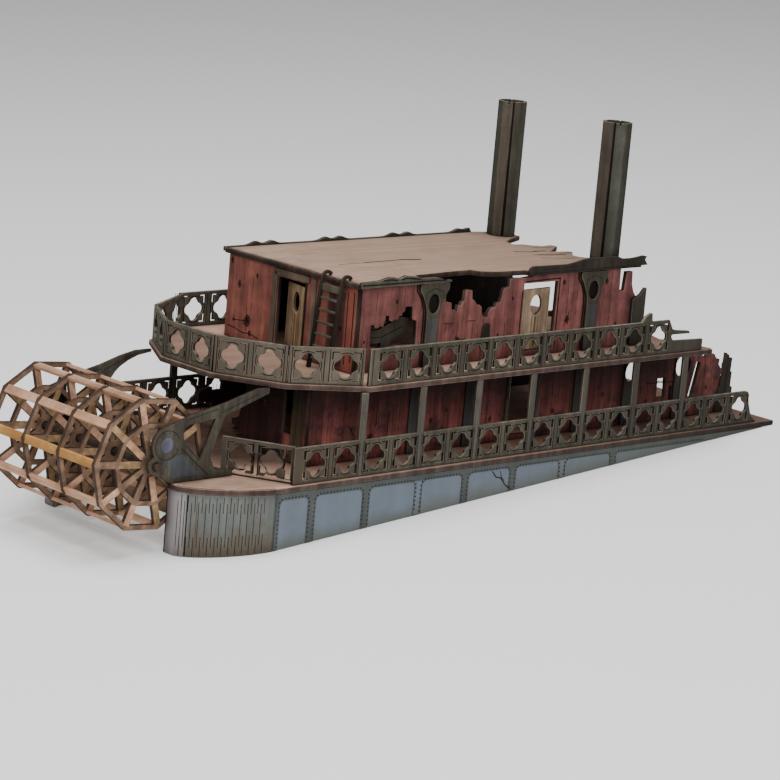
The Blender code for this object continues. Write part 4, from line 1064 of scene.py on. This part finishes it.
def chimney(name, y, turn, nicked, grooved, brown, dark):
    """Eight narrow boards round a hollow shaft; every second joint is an open groove."""
    shape = bmesh.new()
    across_flats = 17.4
    half = across_flats * math.tan(math.pi / 8) / 2
    height = 86.0
    for i in range(8):
        angle = turn + i * math.pi / 4
        left, right = (-half + 0.95, half - 0.06) if i % 2 == grooved else (-half + 0.06, half - 0.95)
        outline = [(left, 0.0), (right, 0.0), (right, height), (left, height)]
        if i == nicked:
            outline[3:3] = [(0.55, height), (0.4, height - 1.6), (-0.4, height - 1.6), (-0.55, height)]
        place = (turned(CHIMNEY_X, y, ROOF_Z + BOARD + GAP) @ Matrix.Rotation(angle, 4, "Z")
                 @ Matrix.Translation((0.0, -(across_flats / 2 - CHIMNEY_WALL / 2), 0.0))
                 @ Matrix.Rotation(UPRIGHT, 4, "X"))
        tone = 4 if i in brown else 5 if i in dark else 0
        fill_board(shape, outline, (), CHIMNEY_WALL, place, rim=0.15, slots=(tone, 1, tone), lit_top=2)
        groove = left + 0.7 if i % 2 == grooved else right - 0.7
        for k in range(24):
            spot = place @ Matrix.Translation((groove, 3.0 + k * 3.5, CHIMNEY_WALL / 2))
            dome(shape, 0.26, 0.12, spot, 1, 6)
    # A near-black liner: painted shade inside the open joints.
    liner = bmesh.ops.create_cone(shape, cap_ends=False, segments=8, radius1=7.9, radius2=7.9,
                                  depth=height - 1.0)
    bmesh.ops.rotate(shape, verts=liner["verts"], matrix=Matrix.Rotation(turn + math.pi / 8, 3, "Z"))
    bmesh.ops.translate(shape, verts=liner["verts"], vec=(CHIMNEY_X, y, ROOF_Z + BOARD + GAP + height / 2))
    for face in {f for v in liner["verts"] for f in v.link_faces}:
        face.material_index = 3
    finish_piece(name + "_look", shape, (CHIMNEY, EDGE, GREY_RIM, BURN, CHIMNEY_BROWN, CHIMNEY_SHADED), [name])


# Each chimney lists its brown faces, then the faces that carry the dark painted shade.
chimney("chimney_starboard", -45.6, math.radians(10.0), 7, 1, (5, 6), (0, 1))
chimney("chimney_port", 45.6, math.radians(-17.0), 7, 0, (3, 7), (6, 0, 1))

# %% [markdown]
# ## Railings
#
# Each cell of a railing has a four-lobed opening, an angled cut in every corner and a pair of burnt
# lines where it meets the next. A picture with clear parts would be quicker, but the cuts are real holes
# here, so light comes through them and their edges show the thickness of the board.

# %% Openings of a cell
def lobed_hole(x, z, size):
    """Four lobes with a sharp nick between them."""
    reach = size / 2
    points = []
    for quarter in range(4):
        turn = quarter * math.pi / 2
        for angle, length in ((-0.50, 0.84), (-0.30, 0.94), (-0.10, 0.985), (0.10, 0.985), (0.30, 0.94),
                              (0.50, 0.84), (math.pi / 4, 0.74)):
            points.append((x + reach * length * math.cos(turn + angle),
                           z + reach * length * math.sin(turn + angle)))
    return points


def corner_cuts(x, z, half_x=8.9, half_z=8.4, arm_x=4.4, arm_z=5.2, across_x=1.8, across_z=0.85):
    """The four angled cuts in a cell's corners."""
    loops = []
    for sx in (-1, 1):
        for sz in (-1, 1):
            loop = [(half_x, half_z), (half_x - arm_x, half_z), (half_x - arm_x, half_z - across_z),
                    (half_x - across_x, half_z - across_z), (half_x - across_x, half_z - arm_z),
                    (half_x, half_z - arm_z)]
            loops.append([(x + sx * a, z + sz * b) for a, b in loop])
    return loops


# %% Burnt lines of a cell
def divider(x, z0, z1, slim=False):
    """Burnt lines at the joint between two cells."""
    if slim:
        return [(((x, z0 + 0.4), (x, z1 - 0.4)), 0.5)]
    return [(((x - 1.5, z0 + 1.2), (x - 1.5, z1 - 1.6)), 0.5), (((x + 1.5, z0 + 1.8), (x + 1.5, z1 - 1.0)), 0.5)]


def arcs(x, z, reach=8.0):
    """Burnt arcs that ring the opening on its four sides."""
    lines = []
    for quarter, spread in ((0, 0.36), (1, 0.46), (2, 0.36), (3, 0.46)):
        middle = quarter * math.pi / 2
        bend = [middle + spread * k / 3 for k in range(-3, 4)]
        lines.append(([(x + reach * math.cos(a), z + reach * math.sin(a)) for a in bend], 0.5))
    return lines


# %% A row of cells
def cells(x0, count, foot, size=14.5):
    """Openings and burnt lines of a row of cells."""
    holes = []
    lines = []
    z = foot + RAIL / 2
    for i in range(count):
        x = x0 + CELL * (i + 0.5)
        holes.append(lobed_hole(x, z, size))
        holes += corner_cuts(x, z)
        lines += arcs(x, z)
        if i:
            lines += divider(x0 + CELL * i, foot, foot + RAIL)
    return holes, lines


# %% Outline of the long main railing
RAIL_Y = 85.0
MAIN_POSTS = 7
MAIN_CELLS = 17
main_foot = GAP
main_top = GAP + RAIL
outline = [(-49.5, main_foot), (344.5, main_foot), (343.0, 1.6), (339.0, 4.6), (335.8, 12.7), (334.2, 20.4),
           (332.2, main_top)]
for i in reversed(range(MAIN_POSTS)):
    x = i * PANEL
    outline += [(x + 2.5, main_top), (x + 2.5, WALL_TOP_LOW), (x - 2.5, WALL_TOP_LOW), (x - 2.5, main_top)]
outline.append((-49.5, main_top))
main_holes, main_lines = cells(-PANEL, MAIN_CELLS, main_foot)
for i in range(MAIN_POSTS):
    x = i * PANEL
    main_lines += [(((x - 2.6, 1.0), (x - 2.6, 20.5)), 0.45), (((x + 2.6, 1.0), (x + 2.6, 20.5)), 0.45)]
post_marks = [(rectangle(i * PANEL - 2.1, low, i * PANEL + 2.1, high), 4, (1, -1))
              for low, high in ((21.6, WALL_TOP_LOW - 0.3), (1.0, 21.0)) for i in range(MAIN_POSTS)]

# %% The short aft panels
AFT_TURN = math.radians(60.0)
slot_cut = rectangle(3.1, main_foot + 2.0, 7.4, main_top - 2.0)
aft_holes = [slot_cut]
aft_lines = divider(23.9, main_foot, main_top)
for along in (14.6, 33.2):
    aft_holes.append(lobed_hole(along, main_foot + RAIL / 2, 13.6))
    aft_holes += corner_cuts(along, main_foot + RAIL / 2, 7.9, 8.4, 4.0, 4.6, 1.0, 0.8)
    aft_lines += arcs(along, main_foot + RAIL / 2, 7.4)

# %% Main railings
rail_paint = (GREY, EDGE, GREY_RIM, BURN, POST)
for side_name, side in BOTH:
    shape = bmesh.new()
    fill_board(shape, outline, main_holes, TRIM, lengthwise(side * RAIL_Y), lines=main_lines, marks=post_marks,
               lit_top=2)
    finish_piece("rail_main_%s_look" % side_name, shape, rail_paint, ["rail_main_" + side_name])
    shape = bmesh.new()
    place = turned(-46.0, side * 84.0, 0.0, UPRIGHT, math.pi + side * AFT_TURN)
    fill_board(shape, rectangle(1.2, main_foot, 44.2, main_top), aft_holes, TRIM, place, lines=aft_lines, lit_top=2)
    finish_piece("rail_main_aft_%s_look" % side_name, shape, rail_paint, ["rail_main_aft_" + side_name])

# %% Upper railings
UPPER_CELLS = 11
RAIL_START = 6.8
upper_top = floor + RAIL
end = RAIL_START + UPPER_CELLS * CELL
broken_rail = [(284.5, floor), (284.5, 58.8), (end + 2.4, 59.6), (end + 0.4, 62.0), (end + 1.0, 63.4),
               (272.0, 63.2), (271.0, 64.8), (259.0, 66.0), (end + 1.0, 67.0), (end - 2.5, upper_top),
               (235.9, upper_top), (235.2, 78.2), (233.9, 78.4), (229.5, 76.6), (226.6, upper_top)]
for side_name, side, start, shift in (("starboard", -1, 2.3, 0.0), ("port", 1, -0.5, -7.3)):
    holes, lines = cells(RAIL_START + shift, UPPER_CELLS, floor)
    for i in range(0, UPPER_CELLS, 2):
        lines += divider(RAIL_START + shift + i * CELL - 2.4, floor, upper_top, True)
    shape = bmesh.new()
    fill_board(shape, [(start, floor), *[(x + shift, z) for x, z in broken_rail], (start, upper_top)], holes, TRIM,
               lengthwise(side * 84.0), lines=lines, lit_top=2)
    finish_piece("rail_upper_%s_look" % side_name, shape, rail_paint, ["rail_upper_" + side_name])

# %% The five stern panels
STERN_HALF = STERN_PANEL / 2 - 0.35
corners = stern_corners()
for k in range(5):
    ax, ay = corners[k]
    bx, by = corners[k + 1]
    holes = []
    lines = divider(0.0, 0.0, RAIL) + divider(1.6 - STERN_HALF, 0.0, RAIL, True)
    lines += divider(STERN_HALF - 1.6, 0.0, RAIL, True)
    for side in (-1, 1):
        holes.append(lobed_hole(side * 11.0, RAIL / 2, 14.2))
        holes += corner_cuts(side * 11.0, RAIL / 2, 8.4, 8.4, 4.3, 4.6, 0.8, 0.6)
        lines += arcs(side * 11.0, RAIL / 2, 7.8)
    place = turned((ax + bx) / 2, (ay + by) / 2, floor, UPRIGHT, math.atan2(ay - by, ax - bx))
    shape = bmesh.new()
    fill_board(shape, rectangle(-STERN_HALF, 0.0, STERN_HALF, RAIL), holes, TRIM, place, lines=lines, lit_top=2)
    finish_piece("rail_stern_%d_look" % (k + 1), shape, rail_paint, ["rail_stern_%d" % (k + 1)])

# %% [markdown]
# ## Ladder, doors and debris
#
# The ladder's two stiles are boards that hook over the roof, with bars for rungs. The doors hang ajar as
# they were glued, so each leaf is simply placed at its angle, and worn streaks are drawn down it. Loose
# boards lie where they fell: plain boards, each turned and tipped a little.

# %% Ladder
LADDER_Y = -40.5
ladder = bmesh.new()
foot_x, head_x, head_z, depth, hook = 3.5, 9.2, ROOF_Z + BOARD - 1.0, 2.6, 4.4
hook_x = head_x + hook - depth / 2
bend = [(hook_x - hook * math.cos(math.radians(a)), head_z + hook * math.sin(math.radians(a)))
        for a in range(0, 151, 10)]
back = [(hook_x - (hook - 2.0) * math.cos(math.radians(a)), head_z + (hook - 2.0) * math.sin(math.radians(a)))
        for a in range(150, -1, -10)]
stile = [(foot_x - depth / 2, floor), *bend, *back, (foot_x + depth / 2, floor)]
for y in (-49.0, -32.0):
    fill_board(ladder, stile, (), 1.8, lengthwise(y))
slope = (head_x - foot_x) / (head_z - floor)
for z in (57.6, 64.6, 71.6, 78.6, 85.7, 92.4):
    box(ladder, (1.2, 17.0, 1.5), turned(foot_x + (z - floor) * slope, LADDER_Y, z), 4)
box(ladder, (1.2, 17.0, 4.0), turned(foot_x + (98.6 - floor) * slope, LADDER_Y, 98.6), 4)
finish_piece("ladder_look", ladder, (SHADE, EDGE, SHADE, BURN, GREY), ["ladder"])

# %% Worn streaks of a door
leaf = rectangle(0.5, 3.6, 22.6, 41.2)
wide_leaf = rectangle(0.6, 3.6, 25.0, 40.5)


def leaf_lines(x0, x1):
    """Two edge lines and three worn streaks."""
    lines = [(((x0 + 1.6, 5.0), (x0 + 1.6, 39.0)), 0.3), (((x1 - 1.6, 5.0), (x1 - 1.6, 39.0)), 0.3)]
    middle = (x0 + x1) / 2
    for x, top, bottom, width in ((middle - 2.6, 24.0, 5.0, 0.5), (middle + 0.2, 23.6, 5.0, 1.5),
                                  (middle + 2.8, 24.0, 6.0, 0.6)):
        lines.append((((x, bottom), (x, top)), width))
    return lines


# %% Doors
for name, outline, place, light in (
        ("door_upper_aft", leaf, turned(15.7, -12.6, floor, UPRIGHT, UPRIGHT - math.radians(14.0)),
         oval(11.5, 31.0, 8.0, 12.0, 28)),
        ("door_upper_starboard", wide_leaf, turned(149.2, -55.5, floor, UPRIGHT, math.radians(4.0)),
         oval(12.8, 30.5, 10.5, 12.5, 28)),
        ("door_lower_starboard", leaf, turned(146.3, -54.8, GAP, UPRIGHT, math.radians(56.0)),
         oval(11.5, 31.0, 8.0, 12.0, 28))):
    shape = bmesh.new()
    right = max(a for a, _ in outline)
    fill_board(shape, outline, [light], TRIM, place)
    top = TRIM / 2 + ENGRAVED
    piece = bmesh.new()
    for points, width in leaf_lines(0.5, right):
        for z in (top, -top):
            path_strip(piece, points, width, z, 4)
    join(shape, piece, place)
    paint = PAINTS["pale" if name == "door_upper_starboard" else "cream"][0]
    finish_piece(name + "_look", shape, (*paint, TOAST), [name])

# %% Fallen boards and debris
fallen = [(24.0, 66.0), (25.0, 74.0), (42.0, 73.5), (58.0, 80.5), (66.0, 79.0), (62.0, 70.5), (52.0, 67.0),
          (50.5, floor), (44.0, floor), (44.5, 66.0)]
sheet("fallen_boards", fallen, lengthwise(-46.0), "grey",
      lines=[(((27.0, 69.6), (44.0, 69.4), (60.0, 74.6)), 0.5), (((45.5, 54.0), (46.0, 65.0)), 0.4)])

debris = bmesh.new()
for outline, thick, x, y, z, tip, turn in (
        ([(0.0, 0.0), (15.0, 0.0), (8.0, 13.0)], 1.6, 6.0, 17.5, 1.2, 72.0, -22.0),
        (rectangle(0.0, 0.0, 19.0, 5.0), 1.4, -8.0, 10.0, 1.4, 6.0, -14.0),
        (rectangle(0.0, 0.0, 13.0, 3.4), 1.4, 2.0, 24.0, 3.2, -14.0, 24.0)):
    fill_board(debris, outline, (), thick, turned(x, y, z, math.radians(tip), math.radians(turn)), slots=(0, 1, 0))
finish_piece("cabin_debris", debris, (EDGE_PALE, EDGE, EDGE))
stub = bmesh.new()
fill_board(stub, [(115.0, 60.6), (122.6, 61.2), (122.2, 73.6), (119.4, 74.6), (116.4, 73.0)], (), 1.0,
           lengthwise(-CABIN_HALF - 0.55))
finish_piece("wall_patch", stub, PAINTS["shade"][0])

# %% [markdown]
# ## Brackets and wheel
#
# Each bracket is one pierced board with a round boss. The wheel is a cage of four ten-sided rings on ten
# laths. Bare board shows everywhere on it, and one lath is a fresher, more golden piece. One sector of a
# ring could be spun, but the rings are boards too, so they are cut whole. The wheel rides on the
# turning body.

# %% Outline of a bracket
BRACKET_Y = 53.5
BRACKET_OUT = BRACKET_Y + TRIM / 2
BORE = 4.6  # the hole that the axle turns in


def polar(radius, angle, centre=(0.0, 0.0)):
    """A point at a distance and an angle from a centre."""
    return (centre[0] + radius * math.cos(angle), centre[1] + radius * math.sin(angle))


boss = (-114.3, 22.1)
nose = [polar(10.2, math.radians(a), boss) for a in range(95, 216, 8)]
lug = [(WHEEL_X - 4.6, WHEEL_Z + 3.0), (WHEEL_X - 5.0, WHEEL_Z), (WHEEL_X - 3.6, WHEEL_Z - 3.6),
       (WHEEL_X, WHEEL_Z - 5.2)]
foot = [(-67.0, GAP), (-67.0, 4.0), (-79.5, 4.8), (-83.5, 12.5)]
arms = {"starboard": [(-75.0, 35.0), (-44.0, 45.0), (-44.0, WALL_TOP_LOW), (-52.0, WALL_TOP_LOW), (-76.0, 42.0)],
        "port": [(-76.8, 27.5), (-72.4, 33.1), (-69.6, 36.8), (-66.0, 39.8), (-60.5, 42.8), (-53.5, 45.3),
                 (-44.0, 46.6), (-44.0, WALL_TOP_LOW), (-55.0, WALL_TOP_LOW), (-66.0, 46.0), (-80.0, 41.8)]}
grooves = {"starboard": ((-78.0, 37.0), (-52.0, 45.4)), "port": ((-78.0, 38.4), (-62.0, 44.6), (-52.0, 47.4))}
window = [(-81.5, 34.0), (-104.0, 31.5), (-103.0, 24.0), (-90.5, 12.0)]
lobe = [(-113.6, 11.4), (-112.9, 13.5), (-106.3, 16.0), (-102.6, 16.0), (-98.6, 11.5), (-90.5, 3.6),
        (-108.8, 3.0)]

# %% Brackets
for side_name, side in BOTH:
    shape = bmesh.new()
    bore = oval(WHEEL_X, WHEEL_Z, BORE, BORE)
    ring = [polar(8.2, math.radians(a), boss) for a in range(20, 341, 16)]
    outline = [*foot, *arms[side_name], (-97.0, 38.0), (-108.0, 34.5), *nose, *lug, (-110.0, GAP)]
    fill_board(shape, outline, [window, bore], TRIM, lengthwise(side * BRACKET_Y), marks=[(lobe, 5, (-side,))],
               lines=[(ring, 0.4), (((-104.4, 19.4), (-94.0, 10.5), (-84.6, 2.6)), 0.45),
                      (((-101.0, 20.6), (-90.6, 11.0)), 0.35), (grooves[side_name], 0.35),
                      (((-100.0, 35.4), (-80.0, 39.4)), 0.35)])
    turn = -side * UPRIGHT
    dome(shape, 4.3, 0.7, turned(boss[0], side * BRACKET_OUT, boss[1], turn), 4, 24)
    for k in range(12):
        x, z = polar(7.0, math.radians(20 + k * 29), boss)
        dome(shape, 0.42, 0.22, turned(x, side * BRACKET_OUT, z, turn), 1, 6)
    finish_piece("bracket_%s_look" % side_name, shape, (ARM, EDGE, ARM, BURN, BOSS, LOBE),
                 ["bracket_" + side_name])

# %% Openings of a wheel ring
SIDES = 10
RADIUS = 38.4
TURN = math.radians(-113.0)
WHEEL_PLACE = BOAT @ Matrix.Translation((WHEEL_X, 0.0, WHEEL_Z))


def ring_holes(band=3.0, spoke=4.4, hub=6.5):
    """Two bays between each pair of spokes."""
    holes = []
    half_sector = math.pi / SIDES
    flat_ratio = math.cos(half_sector)
    inner_radius = RADIUS * 0.59
    for i in range(SIDES):
        middle = TURN + (2 * i + 1) * half_sector
        bays = ((hub, inner_radius * flat_ratio - band / 2),
                (inner_radius * flat_ratio + band / 2, RADIUS * flat_ratio - band))
        for low, high in bays:
            loop = []
            for distance, side in ((low, -1), (high, -1), (high, 1), (low, 1)):
                half_width = max(distance * math.tan(half_sector) - spoke / 2 / flat_ratio, 0.25)
                loop.append((distance * math.cos(middle) - side * half_width * math.sin(middle),
                             distance * math.sin(middle) + side * half_width * math.cos(middle)))
            holes.append(loop)
    return holes


# %% Paddle wheel
RING_Y = 48.35
spokes = []
for i in range(SIDES):
    angle = TURN + 2 * math.pi * i / SIDES
    reach = Matrix.Rotation(angle, 2)
    for low, high, tone in ((7.0, RADIUS * 0.56, i % 3), (RADIUS * 0.62, RADIUS * 0.93, (i + 1) % 3)):
        loop = [tuple(reach @ Vector(corner)) for corner in ((low, -2.0), (high, -2.0), (high, 2.0), (low, 2.0))]
        if tone:
            spokes.append((loop, 5 if tone == 1 else 6, (1, -1)))
wheel = bmesh.new()
rim_line = [polar(RADIUS, TURN + 2 * math.pi * i / SIDES) for i in range(SIDES)]
for y in (-RING_Y, -RING_Y / 3, RING_Y / 3, RING_Y):
    fill_board(wheel, rim_line, [oval(0.0, 0.0, BORE, BORE), *ring_holes()], 2.5, lengthwise(y), rim=0.25,
               slots=(0, 7, 7), marks=spokes)
for i in range(SIDES):
    angle = TURN + 2 * math.pi * i / SIDES
    x, z = polar(RADIUS - 1.9, angle)
    place = Matrix.Translation((x, 0.0, z)) @ Matrix.Rotation(-angle, 4, "Y")
    box(wheel, (2.0, 98.2, 5.0), place, 4 if i == 8 else 5, 0.3)
finish_piece("paddle_wheel_look", wheel, PAINTS["raw"][0], ["paddle_wheel"], "paddle_wheel",
             WHEEL_PLACE)

# %% [markdown]
# The plain solids that stay, inside the hull and at the axle, only need a finish: bare board, and
# scorched board for the axle.

# %% Plain solids that stay
for name in ("well_side_starboard", "well_side_port", "well_front", "bulkhead_aft", "bulkhead_middle",
             "bulkhead_fore", "wheel_axle"):
    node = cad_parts[name]
    node.data.materials.clear()
    node.data.materials.append(EDGE if name == "wheel_axle" else RAW)
    print(name, "stays as packed")

# %% [markdown]
# ## Floor, light and camera
#
# The floor is nearly white paper. It renders as pale grey and runs far behind the model, so it has no
# horizon in the picture. One large soft light stands behind the camera towards the stern, because the
# aft wall is brighter than the side, and one hangs above.

# %% Floor
floor_mesh = bpy.data.meshes.new("studio_floor")
shape = bmesh.new()
bmesh.ops.create_grid(shape, x_segments=2, y_segments=2, size=30.0)
shape.to_mesh(floor_mesh)
shape.free()
studio_floor = bpy.data.objects.new("studio_floor", floor_mesh)
bpy.context.scene.collection.objects.link(studio_floor)
paper = bpy.data.materials.new("studio_paper")
paper.use_nodes = True
tree = paper.node_tree
place = add(tree, "TexCoord", {}, "Object")
fibres = add(tree, "TexNoise", {"Vector": place, "Scale": 1.0 / 3.0, "Detail": 4.0, "Roughness": 0.6}, "Fac")
tone = add(tree, "Mix", {"data_type": "RGBA", 0: fibres, 6: linear("f4f4f4"), 7: linear("f8f8f8")}, 2)
tree.links.new(tone, tree.nodes["Principled BSDF"].inputs["Base Color"])
tree.nodes["Principled BSDF"].inputs["Roughness"].default_value = 0.9
floor_mesh.materials.append(paper)
studio_floor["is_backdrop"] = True

# %% Light
world = bpy.data.worlds.new("studio")
bpy.context.scene.world = world
world.use_nodes = True
backdrop = world.node_tree.nodes["Background"]
backdrop.inputs["Color"].default_value = (1.0, 1.0, 1.0, 1.0)
backdrop.inputs["Strength"].default_value = 0.32


def soft_light(name, energy, size, position, target):
    """A square area light turned towards a target."""
    light = bpy.data.lights.new(name, "AREA")
    light.energy = energy
    light.size = size
    lamp = bpy.data.objects.new(name, light)
    lamp.location = position
    lamp.rotation_mode = "QUATERNION"
    lamp.rotation_quaternion = (Vector(position) - Vector(target)).to_track_quat("Z", "Y")
    bpy.context.scene.collection.objects.link(lamp)


soft_light("key", 33.0, 1.2, (-1.235, -1.554, 1.15), (0.0, 0.0, 0.06))
soft_light("top", 39.0, 1.3, (-0.15, -0.1, 1.9), (0.0, 0.0, 0.1))

# %% Camera
camera_data = bpy.data.cameras.new("camera")
camera = bpy.data.objects.new("camera", camera_data)
bpy.context.scene.collection.objects.link(camera)
bpy.context.scene.camera = camera
camera_data.sensor_width = 36.0
camera_data.lens = 132.0
camera_data.clip_start = 0.05
camera_data.clip_end = 60.0
camera.location = (-1.1358, -1.2255, 0.5027)
camera.rotation_mode = "QUATERNION"
camera.rotation_quaternion = (0.743996, 0.561653, -0.229774, -0.279678)

# %% [markdown]
# ## Finish
#
# The box of the dressed model is measured.

# %% The dressed model's box
low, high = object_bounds()
